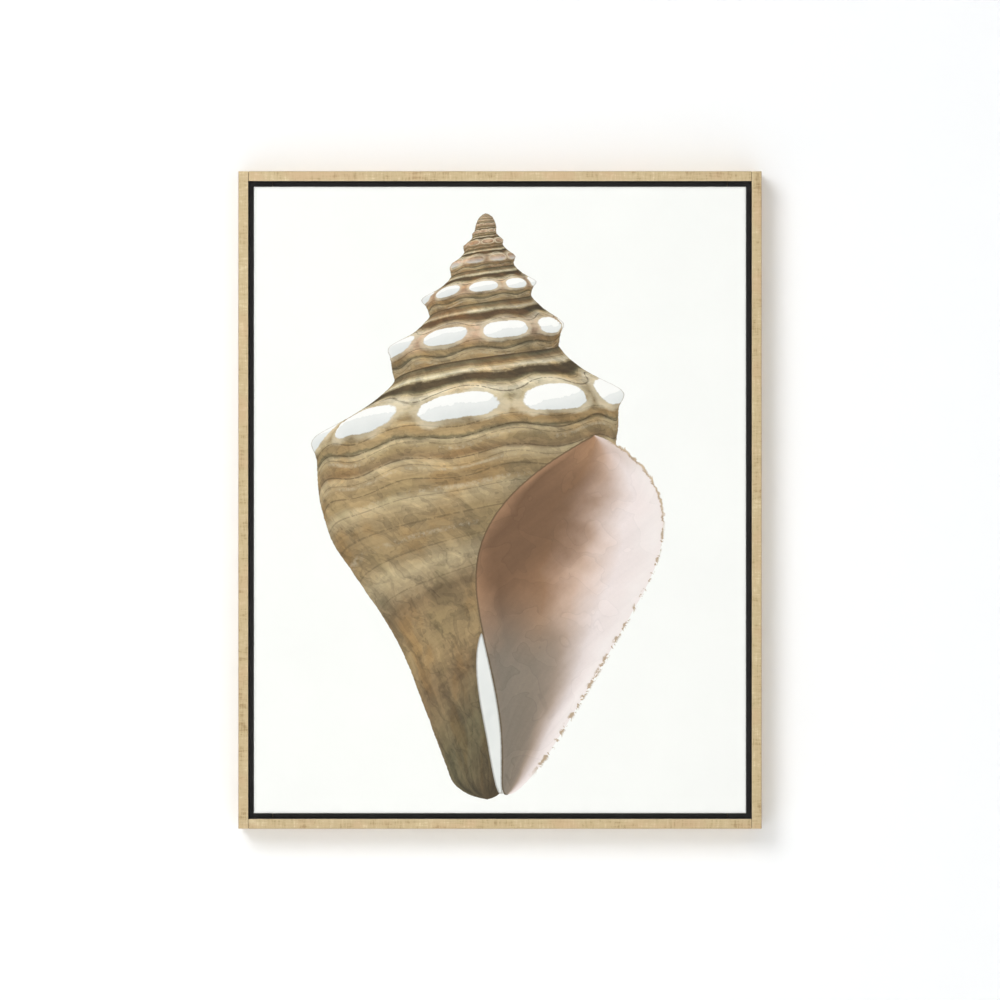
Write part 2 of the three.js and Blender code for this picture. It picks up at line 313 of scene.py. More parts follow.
def finish_with(piece, kind, **settings):
    """Adds a modifier to the piece and applies it."""
    pick_only(piece)
    modifier = piece.modifiers.new(kind.title(), kind)
    for key, value in settings.items():
        setattr(modifier, key, value)
    bpy.ops.object.modifier_apply(modifier=modifier.name)


def draw_out(stations, at=Vector((0, 0, 0))):
    """Extrudes the selected round end along Y through (place, radius) stations round a centre."""
    y, radius = stations[0]
    for new_y, new_radius in stations[1:]:
        extrude((0, new_y - y, 0))
        wide = new_radius / radius
        bpy.ops.transform.resize(value=(wide, 1, wide), center_override=(at.x, new_y, at.z))
        y, radius = new_y, new_radius


def dome(low_y, high_y, wide, narrow, steps, whole):
    """Stations of a rounded end, which would reach the narrow radius after the whole turn of steps."""
    turns = [step / whole * math.pi / 2 for step in range(1, steps + 1)]
    tall, inset = high_y - low_y, wide - narrow
    return [(low_y + tall * math.sin(turn), narrow + inset * math.cos(turn)) for turn in turns]


def cut_with(piece, cutter):
    finish_with(piece, "BOOLEAN", operation="DIFFERENCE", solver="EXACT", object=cutter)
    bpy.data.objects.remove(cutter)


def ease_edges(piece, width, segments=3, angle=0.6):
    finish_with(
        piece, "BEVEL", width=width, segments=segments, limit_method="ANGLE", angle_limit=angle,
        use_clamp_overlap=True)


def smooth(piece, angle=0.6):
    pick_only(piece)
    bpy.ops.object.shade_smooth_by_angle(angle=angle)
    finish_with(piece, "WEIGHTED_NORMAL", weight=100, keep_sharp=True)


def shift(piece, offset):
    piece.data.transform(Matrix.Translation(offset))


def spin_round(piece, angle):
    """Turns the piece's mesh about the Y axis through the origin."""
    piece.data.transform(Matrix.Rotation(angle, 4, "Y"))


def copy_of(piece, name):
    twin = piece.copy()
    twin.data = piece.data.copy()
    twin.name = name
    twin.data.name = name
    bpy.context.collection.objects.link(twin)
    return twin


def place_piece(piece, slot, *nodes):
    """Rides the piece on the frame, in place of the solids that it stands for."""
    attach(piece, "root")
    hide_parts(*nodes)


def coat(piece, *materials):
    piece.data.materials.clear()
    for material in materials:
        piece.data.materials.append(material)


def coat_faces(piece, index, test):
    """Gives a numbered material to the faces whose middle and normal pass the test."""
    for face in piece.data.polygons:
        if test(face.center, face.normal):
            face.material_index = index


# ---- Building shaders ----
class Value:
    """A number or colour that a node gives out, with plain arithmetic on it."""

    def __init__(self, shader, socket):
        self.shader = shader
        self.socket = socket

    def __add__(self, other):
        return self.shader.math("ADD", self, other)

    def __sub__(self, other):
        return self.shader.math("SUBTRACT", self, other)

    def __rsub__(self, other):
        return self.shader.math("SUBTRACT", other, self)

    def __mul__(self, other):
        return self.shader.math("MULTIPLY", self, other)

    def __truediv__(self, other):
        return self.shader.math("DIVIDE", self, other)

    def __rtruediv__(self, other):
        return self.shader.math("DIVIDE", other, self)

    def __pow__(self, other):
        return self.shader.math("POWER", self, other)

    def __abs__(self):
        return self.shader.math("ABSOLUTE", self)


class Shader:
    """A node tree with short ways to add and join its nodes."""

    def __init__(self, tree):
        self.tree = tree

    def node(self, kind, inputs=None, **settings):
        made = self.tree.nodes.new(kind)
        for key, value in settings.items():
            setattr(made, key, value)
        for key, value in (inputs or {}).items():
            self.feed(made.inputs[key], value)
        return made

    def read(self, kind, inputs=None, output=0, **settings):
        """Adds a node and gives one of its outputs."""
        return Value(self, self.node(kind, inputs, **settings).outputs[output])

    def feed(self, socket, value):
        if isinstance(value, Value):
            self.tree.links.new(value.socket, socket)
        elif value is not None:
            if socket.type == "RGBA" and len(value) == 3:
                value = (*value, 1)
            socket.default_value = value

    def math(self, operation, *values, clamp=False):
        return self.read("ShaderNodeMath", dict(enumerate(values)), operation=operation, use_clamp=clamp)

    def step(self, value, low, high):
        """0 below low and 1 above high, with a soft change between."""
        inputs = dict(enumerate((value, low, high)))
        return self.read("ShaderNodeMapRange", inputs, interpolation_type="SMOOTHSTEP")

    def fall(self, value, low, high):
        """1 below low and 0 above high, with a soft change between."""
        return 1.0 - self.step(value, low, high)

    def near(self, value, at, half):
        """1 close to a place, falling to 0 at the half width on each side of it."""
        return self.fall(abs(value - at), 0.15 * half, half)

    def spread(self, value, low, high, to_low, to_high):
        """Carries a value from one range to another."""
        return self.read("ShaderNodeMapRange", dict(enumerate((value, low, high, to_low, to_high))))

    def mix(self, factor, a, b, blend="MIX"):
        made = self.node("ShaderNodeMix", data_type="RGBA", blend_type=blend)
        sockets = {socket.identifier: socket for socket in (*made.inputs, *made.outputs)}
        for name, given in (("Factor_Float", factor), ("A_Color", a), ("B_Color", b)):
            self.feed(sockets[name], given)
        return Value(self, sockets["Result_Color"])

    def darken(self, tint, amount):
        """A colour times a grey amount."""
        grey = self.read("ShaderNodeCombineColor", dict.fromkeys(("Red", "Green", "Blue"), amount))
        return self.mix(1.0, tint, grey, "MULTIPLY")

    def noise(self, vector, scale, detail=3.0, roughness=0.5, distortion=0.0):
        inputs = {
            "Vector": vector, "Scale": scale, "Detail": detail, "Roughness": roughness,
            "Distortion": distortion}
        return self.read("ShaderNodeTexNoise", inputs, "Fac")

    def attribute(self, name):
        return self.read("ShaderNodeAttribute", None, "Fac", attribute_name=name)

    def position(self):
        return self.read("ShaderNodeTexCoord", None, "Object")

    def stretched(self, vector, scale):
        return self.read("ShaderNodeMapping", {"Vector": vector, "Scale": scale})

    def parts(self, vector):
        made = self.node("ShaderNodeSeparateXYZ", {0: vector})
        return [Value(self, socket) for socket in made.outputs]

    def vector(self, x=0.0, y=0.0, z=0.0):
        return self.read("ShaderNodeCombineXYZ", {0: x, 1: y, 2: z})

    def ramp(self, factor, stops):
        """Colours at places from 0 to 1, blended between them."""
        made = self.node("ShaderNodeValToRGB", {"Fac": factor})
        elements = made.color_ramp.elements
        while len(elements) < len(stops):
            elements.new(1.0)
        for element, (place, _) in zip(elements, stops):
            element.position = place
        for element, (_, tint) in zip(elements, stops):
            element.color = (*tint, 1)
        return Value(self, made.outputs["Color"])

    def group(self, name, **inputs):
        """Places one of the shared groups, with its own values."""
        made = self.node("ShaderNodeGroup", node_tree=GROUPS[name])
        for key, value in inputs.items():
            self.feed(made.inputs[key.capitalize()], value)
        return {socket.name: Value(self, socket) for socket in made.outputs}

    def dress(self, tint, roughness, height=None, strength=0.0, depth=0.0):
        """Feeds the material's surface, with relief from a height of the given strength and depth."""
        self.feed(self.surface.inputs["Base Color"], tint)
        self.feed(self.surface.inputs["Roughness"], roughness)
        if height is not None:
            bump = self.read("ShaderNodeBump", {"Height": height, "Strength": strength, "Distance": depth})
            self.feed(self.surface.inputs["Normal"], bump)


def new_material(name):
    """An empty material and its shader, with a Principled surface waiting to be dressed."""
    material = bpy.data.materials.new(name)
    material.use_nodes = True
    material.node_tree.nodes.clear()
    shader = Shader(material.node_tree)
    shader.surface = shader.node("ShaderNodeBsdfPrincipled")
    shown = Value(shader, shader.surface.outputs[0])
    shader.output = shader.node("ShaderNodeOutputMaterial", {"Surface": shown})
    return material, shader


def new_group(name, inputs, outputs):
    """A shader group with named sockets, given as (name, kind, default)."""
    tree = bpy.data.node_groups.new(name, "ShaderNodeTree")
    for label, kind, default in inputs:
        socket = tree.interface.new_socket(label, in_out="INPUT", socket_type=kind)
        if default is not None:
            socket.default_value = default
    for label, kind in outputs:
        tree.interface.new_socket(label, in_out="OUTPUT", socket_type=kind)
    shader = Shader(tree)
    given = {socket.name: Value(shader, socket) for socket in shader.node("NodeGroupInput").outputs}
    return tree, shader, given, shader.node("NodeGroupOutput").inputs


FLOAT, TINT, VECTOR = "NodeSocketFloat", "NodeSocketColor", "NodeSocketVector"
GROUPS = {}


def make_weave_group():
    """Plain weave: threads over and under in two directions, with uneven yarn."""
    tree, s, given, out = new_group(
        "plain_weave", [("Across", FLOAT, 0.0), ("Along", FLOAT, 0.0), ("Pitch", FLOAT, 0.001)],
        [("Height", FLOAT), ("Shade", FLOAT)])
    turns = math.pi / given["Pitch"]
    spot = s.vector(given["Across"], given["Along"])
    uneven = (s.noise(spot, 70.0, 2.0) - 0.5) * 1.6
    warp = s.math("SINE", given["Across"] * turns + uneven)
    weft = s.math("SINE", given["Along"] * turns + uneven)
    height = abs(warp) * 0.5 + abs(weft) * 0.5 + warp * weft * 0.25
    yarn = s.noise(s.stretched(spot, (900.0, 60.0, 1.0)), 1.0, 2.0)
    s.feed(out["Height"], height + yarn * 0.2)
    s.feed(out["Shade"], s.spread(height + yarn * 0.3, 0.2, 1.2, 0.94, 1.02))
    GROUPS["weave"] = tree


def make_grain_group():
    """Wood grain along one direction: wavy rings, fine pores and a slow change of tone."""
    tree, s, given, out = new_group(
        "wood_grain", [
            ("Along", FLOAT, 0.0), ("Across", FLOAT, 0.0), ("Through", FLOAT, 0.0),
            ("Light", TINT, (0.8, 0.6, 0.4, 1)), ("Dark", TINT, (0.5, 0.3, 0.2, 1)),
            ("Rings", FLOAT, 90.0)],
        [("Color", TINT), ("Height", FLOAT)])
    along, across, through = given["Along"], given["Across"], given["Through"]
    spot = s.vector(along * 0.09, across, through)
    wander = s.noise(spot, 14.0, 2.0)
    late = s.math("FRACT", across * given["Rings"] + wander * 7.0) ** 3.0
    fibre = s.noise(s.vector(along * 6.0, across * 700.0, through * 700.0), 1.0, 3.0, 0.6)
    tone = s.noise(spot, 5.0, 2.0)
    pores = s.noise(s.vector(along * 45.0, across * 1500.0, through * 1500.0), 1.0, 1.0)
    amount = late * 0.6 + (fibre - 0.45) + s.step(pores, 0.58, 0.68) * 0.35
    amount = s.math("ADD", amount, (tone - 0.5) * 0.6, clamp=True)
    s.feed(out["Color"], s.mix(amount, given["Light"], given["Dark"]))
    s.feed(out["Height"], fibre * 0.6 - late * 0.4)
    GROUPS["grain"] = tree


def make_dust_group():
    """Uneven soil and rubbing: a slow blotch and a fine speckle, as one grey amount."""
    tree, s, given, out = new_group(
        "dust", [
            ("Vector", VECTOR, None), ("Blotch", FLOAT, 20.0), ("Speckle", FLOAT, 900.0),
            ("Amount", FLOAT, 0.1)],
        [("Shade", FLOAT), ("Fine", FLOAT)])
    blotch = s.noise(given["Vector"], given["Blotch"], 3.0)
    fine = s.noise(given["Vector"], given["Speckle"], 2.0)
    mixed = blotch * 0.65 + fine * 0.35
    s.feed(out["Shade"], 1.0 - (mixed - 0.45) * given["Amount"] * 2.0)
    s.feed(out["Fine"], fine)
    GROUPS["dust"] = tree


# ---- The shell study: its form, worked out on the cloth ----
# A whorl's outline, as (share of the whorl past its suture, radius over distance from the apex).
SPIRE_OUTLINE = [
    (0, 0.545), (0.12, 0.56), (0.3, 0.60), (0.5, 0.66), (0.62, 0.675), (0.8, 0.62), (1, 0.545)]
BODY_OUTLINE = [
    (0, 0.545), (0.12, 0.56), (0.3, 0.61), (0.5, 0.69), (0.62, 0.71), (0.8, 0.675), (1.0, 0.618),
    (1.2, 0.545), (1.4, 0.463), (1.6, 0.360), (1.8, 0.264), (2.0, 0.190), (2.2, 0.136),
    (2.4, 0.090), (2.58, 0.054), (2.75, 0.038), (3.1, 0.032)]
TOE = 0.024  # height of the rounded end of the canal
SHOULDER = 0.60  # where the knobs sit in a whorl
KNOB_PHASE = 0.9  # turns the ring of knobs
KNOB_TALL, KNOB_WIDE = 0.15, 0.39  # half sizes, as shares of a whorl and of the space for a knob
KNOB_RISE = 0.105  # how far a knob swells the outline
MOUTH_TOP, MOUTH_FOOT = (0.106, 0.074), (0.006, -0.335)  # its corners, from the canvas's middle
# How far an edge of the mouth swells, how fast from its top and its foot, and its reach at the foot.
MOUTH_LIP = (0.108, 0.80, 1.70, 0.026)
MOUTH_WALL = (-0.098, 1.05, 2.2, -0.010)
CANAL_TOP = -0.150  # height of the canal's upper end
CANAL_WIDE = 0.021
OUTSIDE = -0.01  # depth stored where nothing is painted


def along_curve(points, places):
    """A smooth curve through a few points, read at the given places."""
    places_known, values = np.array(points, float).T
    if places_known[0] > places_known[-1]:
        places_known, values = places_known[::-1], values[::-1]
    slopes = np.gradient(values, places_known)
    found = np.clip(np.asarray(places, float), places_known[0], places_known[-1])
    i = np.clip(np.searchsorted(places_known, found) - 1, 0, len(values) - 2)
    wide = places_known[i + 1] - places_known[i]
    t = (found - places_known[i]) / wide
    return ((2 * t**3 - 3 * t**2 + 1) * values[i] + (t**3 - 2 * t**2 + t) * wide * slopes[i]
            + (3 * t**2 - 2 * t**3) * values[i + 1] + (t**3 - t**2) * wide * slopes[i + 1])


def rise(low, high, value):
    t = np.clip((value - low) / (high - low), 0, 1)
    return t * t * (3 - 2 * t)


def shell_form(study, drop, angle):
    """Radius and whorl of the shell, at a distance below the apex and an angle round its axis."""
    whorl = np.log(np.maximum(drop, 1e-4) / study.first) / math.log(study.growth) + angle / math.tau
    strip = np.minimum(np.floor(whorl), study.body_whorl)
    share = whorl - strip
    outline = np.where(
        whorl < study.body_whorl, along_curve(SPIRE_OUTLINE, share), along_curve(BODY_OUTLINE, share))
    winding = math.tau * strip - angle
    ring = 0.5 + 0.5 * np.cos(study.knobs * winding + KNOB_PHASE)
    knob = np.exp(-((share - SHOULDER) / KNOB_TALL) ** 2) * ring
    outline = outline * (1 + KNOB_RISE * rise(0.3, 1.5, whorl) * knob)
    tip = study.first * 0.8
    dome = 0.62 * np.sqrt(np.clip(tip**2 - (tip - drop) ** 2, 0, None))
    long = study.apex[1] - study.tip[1]
    past_toe = np.clip((drop - long) / TOE + 1, 0, 1)
    return np.where(drop < tip, dome, drop * outline * np.sqrt(1 - past_toe**2)), whorl


def shell_fields(study, x, z):
    """What the brush needs to know at each place on the canvas, measured from its middle."""
    apex_x, apex_z = study.apex
    axis = apex_x + (study.tip[0] - apex_x) * rise(0.0, study.tip[1], z)
    side = x - axis
    deepest, steps = 0.26, 90
    inside = np.full(x.shape, -1.0)
    hit = np.zeros(x.shape)
    long = apex_z - study.tip[1]
    before = None
    for v in np.linspace(deepest, 0, steps):
        drop = apex_z - z + v * study.tilt
        radius, _ = shell_form(study, drop, np.arctan2(side, v + 1e-9))
        depth = np.where(drop > 0, radius - np.hypot(side, v), -np.hypot(drop, side))
        depth = depth - np.clip(drop - long, 0, None)
        inside = np.maximum(inside, depth)
        if before is not None:
            crossing = (hit == 0) & (depth >= 0)
            hit = np.where(crossing, v + deepest / (steps - 1) * (depth / (depth - before + 1e-12)), hit)
        before = depth
    angle = np.arctan2(side, hit + 1e-9)
    _, whorl = shell_form(study, apex_z - z + hit * study.tilt, angle)
    beside_wall = mouth_edge(z, MOUTH_WALL) + 0.004 - x
    inside = np.where(z < CANAL_TOP, np.minimum(inside, beside_wall), inside)
    return inside, whorl, angle, hit


def mouth_edge(z, swell):
    """Place across of one edge of the mouth: a line between its corners, swelling to one side."""
    (top_x, top_z), (foot_x, foot_z) = MOUTH_TOP, MOUTH_FOOT
    reach, early, late, foot = swell
    share = np.clip((top_z - z) / (top_z - foot_z), 0, 1)
    peak = early / (early + late)
    bulge = share**early * (1 - share) ** late / (peak**early * (1 - peak) ** late)
    toe = foot * rise(0.45, 0.9, share) * np.sqrt(1 - np.clip((share - 0.88) / 0.12, 0, 1) ** 2)
    return top_x + (foot_x - top_x) * share + reach * bulge + toe


def mouth_fields(x, z):
    """Depth inside the mouth's outline, the share across it, and the share down it."""
    inner, outer = mouth_edge(z, MOUTH_WALL), mouth_edge(z, MOUTH_LIP)
    top, foot = MOUTH_TOP[1], MOUTH_FOOT[1]
    up, down = z + 0.002, z - 0.002
    lean_in = (mouth_edge(up, MOUTH_WALL) - mouth_edge(down, MOUTH_WALL)) / (up - down)
    lean_out = (mouth_edge(up, MOUTH_LIP) - mouth_edge(down, MOUTH_LIP)) / (up - down)
    inside = np.minimum((x - inner) / np.hypot(1, lean_in), (outer - x) / np.hypot(1, lean_out))
    inside = np.minimum(inside, np.minimum(top - z, z - foot))
    across = np.clip((x - inner) / np.maximum(outer - inner, 0.004), -1, 2)
    return inside, across, (top - z) / (top - foot)


def canal_field(x, z):
    """Depth inside the slit that runs down beside the mouth's wall."""
    share = np.clip((CANAL_TOP - z) / (CANAL_TOP - MOUTH_FOOT[1]), 0, 1)
    wall = mouth_edge(z, MOUTH_WALL)
    wide = CANAL_WIDE * np.sin(math.pi * share**0.9) ** 0.8 * (1 - 0.35 * share) + 0.004 * share
    inside = np.minimum(x - wall + wide, wall - x)
    return np.where((share <= 0) | (share >= 1), OUTSIDE, inside)


def hill_light(depth, across_step, up_step):
    """How brightly a soft light from the upper left falls on the form, from 0 to 1."""
    up, across = np.gradient(depth, up_step, across_step)
    facing = np.stack([-across, np.ones_like(depth), -up], -1)
    facing /= np.linalg.norm(facing, axis=-1, keepdims=True)
    light = np.array([-0.5, 0.72, 0.48])
    return np.clip(facing @ (light / np.linalg.norm(light)), 0, 1)


# ---- Materials ----
def make_print_material(canvas, study):
    """The coated face of the canvas, with the shell laid on in thin washes."""
    material, s = new_material("canvas_print")
    place = s.position()
    x, y, z = s.parts(place)
    brush = {
        "slow": s.noise(place, 38.0, 3.0) - 0.5,
        "quick": s.noise(place, 240.0, 4.0, 0.6) - 0.5,
        "grain": s.noise(place, 1300.0, 2.0) - 0.5,
        "pool": s.noise(place, 26.0, 2.0, 0.4, 0.6),
        "crumb": s.noise(place, 130.0, 2.0, 0.7, 0.5),
    }
    faint = s.spread(s.noise(place, 9.0, 3.0), 0.3, 0.7, 0.985, 1.003)
    to_side = CANVAS_X - abs(x)
    to_end = CANVAS_HALF_Z - abs(z - MIDDLE_Z)
    # Painted shade: the ground darkens towards each edge, where the cloth turns over the stretcher.
    painted_edge_shade = s.spread(s.math("MINIMUM", to_side, to_end), 0.0, 3 * canvas.fold, 0.86, 1.0)
    on_hem = s.step(y - canvas_high.y, *HEM_EDGE)
    corner = to_side - to_end
    # Painted shade in the diagonal crease where the hem folds at each corner.
    painted_crease_shade = on_hem * s.near(corner, 0.0, 0.0014)
    painted = s.darken(canvas.ground, faint * painted_edge_shade * (1.0 - painted_crease_shade * 0.6))
    for paint_part in (paint_whorls, paint_mouth, paint_canal):
        painted = paint_part(s, study, brush, painted)
    weave = s.group("weave", across=x + y, along=z + y, pitch=canvas.thread)
    dust = s.group("dust", vector=place, blotch=7.0, speckle=600.0, amount=0.02)
    shade = s.spread(weave["Shade"], 0.94, 1.02, 0.985, 1.005)
    flap = on_hem * s.step(corner, -0.0006, 0.0006)
    s.dress(
        s.darken(painted, shade * dust["Shade"]), s.spread(weave["Shade"], 0.94, 1.02, 0.82, 0.72),
        weave["Height"] + flap * 3.0, 0.25, 0.00025)
    return material


def paint_whorls(s, study, brush, ground):
    """Washes, drawn lines and bare knobs that wind round the shell."""
    slow, quick = brush["slow"], brush["quick"]
    whorl, turn = s.attribute("whorl"), s.attribute("turn")
    inside = s.attribute("inside") + slow * 0.0026 + quick * 0.0020
    strip = s.math("MINIMUM", s.math("FLOOR", whorl), study.body_whorl)
    share = whorl - strip
    winding = strip * math.tau - turn
    knob_turn = winding * study.knobs + KNOB_PHASE
    knob_wave = s.math("COSINE", knob_turn)
    spire = s.fall(whorl, study.body_whorl - 0.1, study.body_whorl + 0.1)

    # Everything above the knobs arches over them, and everything below hangs round them.
    above = s.step(share, 0.12, 0.42) * s.fall(share, 0.5, 0.6)
    below = s.step(share, 0.62, 0.75) * s.fall(share, 0.95, 1.5)
    bend = knob_wave * (above * 0.042 - below * 0.026)
    wavy = share + bend + slow * 0.09 + quick * 0.030
    washes = (
        (0.00, study.umber), (0.04, study.olive), (0.09, study.brown), (0.13, study.sand),
        (0.17, study.cream), (0.20, study.sand), (0.225, study.umber), (0.30, study.umber),
        (0.33, study.olive), (0.36, study.sand), (0.42, study.cream), (0.52, study.sand),
        (0.70, study.ochre), (0.74, study.sand), (0.79, study.ochre), (0.84, study.ochre),
        (0.87, study.olive), (0.90, study.sand), (0.97, study.ochre), (1.04, study.brown),
        (1.08, study.sand), (1.18, study.ochre), (1.27, study.ochre), (1.31, study.sand),
        (1.45, study.ochre), (1.62, study.ochre), (1.72, study.sand), (1.86, study.brown),
        (2.05, study.ochre), (2.25, study.brown), (2.50, study.olive), (2.84, study.umber))
    full = washes[-1][0]
    tint = s.ramp(wavy / full, [(at / full, wash) for at, wash in washes])
    tint = s.mix(s.near(share, SHOULDER, 0.24) * spire * 0.85, tint, study.blush)
    russet = spire * s.step(s.noise(s.vector(winding, share * 2.0, 5.0), 0.9, 2.0), 0.46, 0.56)
    tint = s.mix(russet * 0.40, tint, study.russet)

    # Strokes along the coil, growth marks across it, and washes that dried with hard edges.
    coil = s.vector(winding * 1.1, share * 26.0)
    strokes = s.noise(coil, 1.0, 4.0, 0.6) - 0.5
    slant = winding + share * 0.9
    growth = s.noise(s.vector(slant * 9.0, share * 1.7), 1.0, 4.0, 0.65) - 0.5
    patches = s.noise(s.vector(slant * 5.0, share * 6.5, 3.0), 1.0, 2.0, 0.6, 0.5)
    layer = s.step(patches, 0.44, 0.452) * 0.15 + s.step(patches, 0.55, 0.558) * 0.17 - 0.13
    rim = s.near(patches, 0.458, 0.010) + s.near(patches, 0.563, 0.009)
    depth = strokes * 0.75 + growth * 0.55 + (brush["pool"] - 0.5) * 0.7
    depth = depth + brush["grain"] * 0.22 + layer + rim * 0.07 + quick * 0.35
    tint = s.darken(tint, 1.0 - depth)
    warmth = s.noise(s.vector(winding * 2.0, share * 3.0, 7.0), 1.0, 3.0)
    for amount, glaze in (
            (s.step(warmth, 0.50, 0.66) * 0.45, study.honey),
            (s.fall(warmth, 0.36, 0.48) * 0.40, study.mist)):
        tint = s.mix(amount, tint, s.mix(1.0, tint, glaze, "MULTIPLY"))

    # Marks across the long lower body.
    crossing = abs(s.math("SINE", slant * 7.0 + share * 5.0 + slow * 7.0))
    marks = s.step(share, 1.25, 1.75) * s.fall(crossing, 0.02, 0.30)
    tint = s.darken(tint, 1.0 - marks * 0.22)

    # Fine drawn lines, dark and broken, with a few streaks lifted out beside them.
    drawn = share + bend * 1.5 + (s.noise(coil, 0.35, 2.0) - 0.5) * 0.06
    broken = s.step(growth + quick, -0.24, 0.02)
    for at, half, dark in (
            (0.010, 0.014, 0.75), (0.115, 0.008, 0.5), (0.205, 0.007, 0.5), (0.345, 0.008, 0.5),
            (0.425, 0.012, 0.75), (0.775, 0.009, 0.6), (0.875, 0.011, 0.8), (0.925, 0.006, 0.5),
            (1.055, 0.010, 0.65), (1.115, 0.006, 0.4), (1.21, 0.008, 0.5), (1.33, 0.007, 0.4),
            (1.47, 0.008, 0.4), (1.63, 0.008, 0.35), (1.80, 0.008, 0.3)):
        tint = s.mix(s.near(drawn, at, half) * broken * dark, tint, study.umber)
    lifted = s.step(warmth + quick * 0.9, 0.42, 0.72)
    for at, half in (
            (0.16, 0.018), (0.395, 0.014), (0.955, 0.024), (1.14, 0.018), (1.29, 0.030),
            (1.56, 0.026)):
        tint = s.mix(s.near(drawn, at, half) * lifted * 0.38, tint, study.cream)

    # Form: the side away from the light gets a darker wash, and so does the spire.
    tint = s.darken(tint, s.spread(s.attribute("light"), 0.25, 0.95, 0.72, 1.05))
    tint = s.darken(tint, s.spread(spire, 0.0, 1.0, 1.0, 0.88))

    # Knobs: bare cloth in a pale halo, with two grey washes along the lower side.
    around = knob_turn / math.tau
    left_right = (around - s.math("ROUND", around)) / KNOB_WIDE
    up_down = (share - SHOULDER) / KNOB_TALL
    oval = abs(up_down) ** 2.6 + abs(left_right) ** 2.6 + slow * 0.9 + quick * 0.35
    halo = s.step(oval, 0.80, 0.98) * s.fall(oval + slow * 4.0, 0.9, 2.3)
    tint = s.mix(halo * 0.55, tint, study.cream)
    beneath = s.step(up_down, 0.7, 1.0) * s.fall(up_down, 1.0, 1.7) * s.step(knob_wave, -0.2, 0.8)
    tint = s.darken(tint, 1.0 - beneath * 0.28)
    lower = up_down - left_right * 0.30 + quick * 0.35 + slow * 1.4
    flat_wash = s.step(lower, 0.00, 0.06) * 0.60 + s.step(lower, 0.1, 1.1) * 0.40
    knob = s.fall(oval, 0.80, 0.98) * s.step(whorl, 1.5, 1.9)
    tint = s.mix(knob, tint, s.mix(flat_wash, study.bare, study.slate))

    # Pigment gathers at the edge of the wash, like a drawn outline.
    outline = s.fall(inside, 0.0002, 0.0014) * s.spread(growth, -0.2, 0.2, 0.30, 0.75)
    tint = s.mix(outline, tint, study.brown)
    return s.mix(s.step(inside, -0.0003, 0.0003), ground, tint)


def paint_mouth(s, study, brush, ground):
    """The lining: deep at the upper left, pale at the lip, and grey towards the canal."""
    slow, quick, pool = brush["slow"], brush["quick"], brush["pool"]
    inside = s.attribute("mouth") + slow * 0.0012 + quick * 0.0014
    across, down = s.attribute("mouth_across"), s.attribute("mouth_down")
    drift = s.noise(s.vector(across * 1.3, down * 4.0, across * 0.7), 1.0, 3.0, 0.55, 0.4)
    flow = across + slow * 0.10 + (drift - 0.5) * 0.35
    tint = s.ramp(flow, [
        (0.0, study.warm), (0.12, study.rose), (0.38, study.warm), (0.58, study.shell_pink),
        (0.80, study.pearl), (1.0, study.pearl)])
    deep_across = (flow - s.spread(down, 0.0, 0.4, 0.44, 0.24)) / 0.42
    deep_down = (down - 0.26) / 0.27
    away = s.math("SQRT", deep_across * deep_across + deep_down * deep_down)
    washes = (
        (s.step(flow, 0.80, 1.05) * 0.45, study.bare),
        (s.fall(away, 0.25, 1.1) * 0.9, study.rose),
        (s.fall(down, 0.02, 0.12) * 0.55, study.warm),
        (s.step(down, 0.40, 0.66) * s.fall(flow, 0.40, 0.95) * 0.9, study.drab))
    for amount, wash in washes:
        tint = s.mix(amount, tint, wash)

    # Hatching and hard-edged pools, fading out towards the lip, and a dark line down the wall.
    hatch = s.noise(s.vector((across + down * 2.0) * 9.0, across * 1.5), 1.0, 3.0, 0.6)
    backrun = s.step(pool, 0.47, 0.476) * 0.07 + s.near(pool, 0.48, 0.012) * 0.08
    depth = (hatch - 0.5) * 0.34 + brush["grain"] * 0.16 + quick * 0.16 + backrun
    tint = s.darken(tint, 1.0 - depth * s.spread(across, 0.3, 1.0, 1.0, 0.25))
    tint = s.mix(s.fall(inside, 0.0008, 0.0024) * s.fall(across, 0.15, 0.45) * 0.8, tint, study.umber)
    tint = s.mix(s.fall(inside, 0.001, 0.010) * s.step(across, 0.5, 0.8) * 0.35, tint, study.pearl)
    painted = s.mix(s.step(inside, -0.0003, 0.0003), ground, tint)

    # Worn crumbs of the outer layer along the lip, and a thin solid edge above them.
    crumbs = brush["crumb"]
    off_lip = inside - (crumbs - 0.5) * 0.008
    band = s.near(off_lip / s.spread(down, 0.2, 0.8, 0.0022, 0.0042), 0.0, 1.0)
    kept = s.math("MAXIMUM", s.fall(down, 0.18, 0.30), s.step(crumbs, 0.50, 0.54))
    along_lip = s.step(down, 0.01, 0.03) * s.fall(down, 0.90, 0.96) * s.step(across, 0.7, 0.9)
    shade = s.spread(crumbs, 0.35, 0.65, 1.12, 0.78)
    return s.mix(band * kept * along_lip * 0.85, painted, s.darken(study.crumb, shade))


def paint_canal(s, study, brush, ground):
    """A slit left nearly bare, with a dark line down each side."""
    inside = s.attribute("canal") + brush["quick"] * 0.0008
    pale = s.mix((brush["pool"] - 0.2) * 0.9, study.slate, study.bare)
    pale = s.mix(s.fall(inside, 0.0004, 0.0022) * 0.65, pale, study.drab)
    return s.mix(s.step(inside, -0.0002, 0.0003), ground, pale)


def make_raw_cloth_material(canvas):
    """The uncoated back of the canvas."""
    material, s = new_material("canvas_raw_back")
    place = s.position()
    x, y, z = s.parts(place)
    weave = s.group("weave", across=x + y, along=z + y, pitch=canvas.thread)
    slub = s.noise(s.stretched(place, (14.0, 14.0, 420.0)), 1.0, 3.0)
    dust = s.group("dust", vector=place, blotch=9.0, speckle=500.0, amount=0.07)
    tint = s.darken(canvas.raw, s.spread(slub, 0.3, 0.7, 0.95, 1.03) * weave["Shade"] * dust["Shade"])
    s.dress(tint, 0.92, weave["Height"], 0.6, 0.0003)
    return material


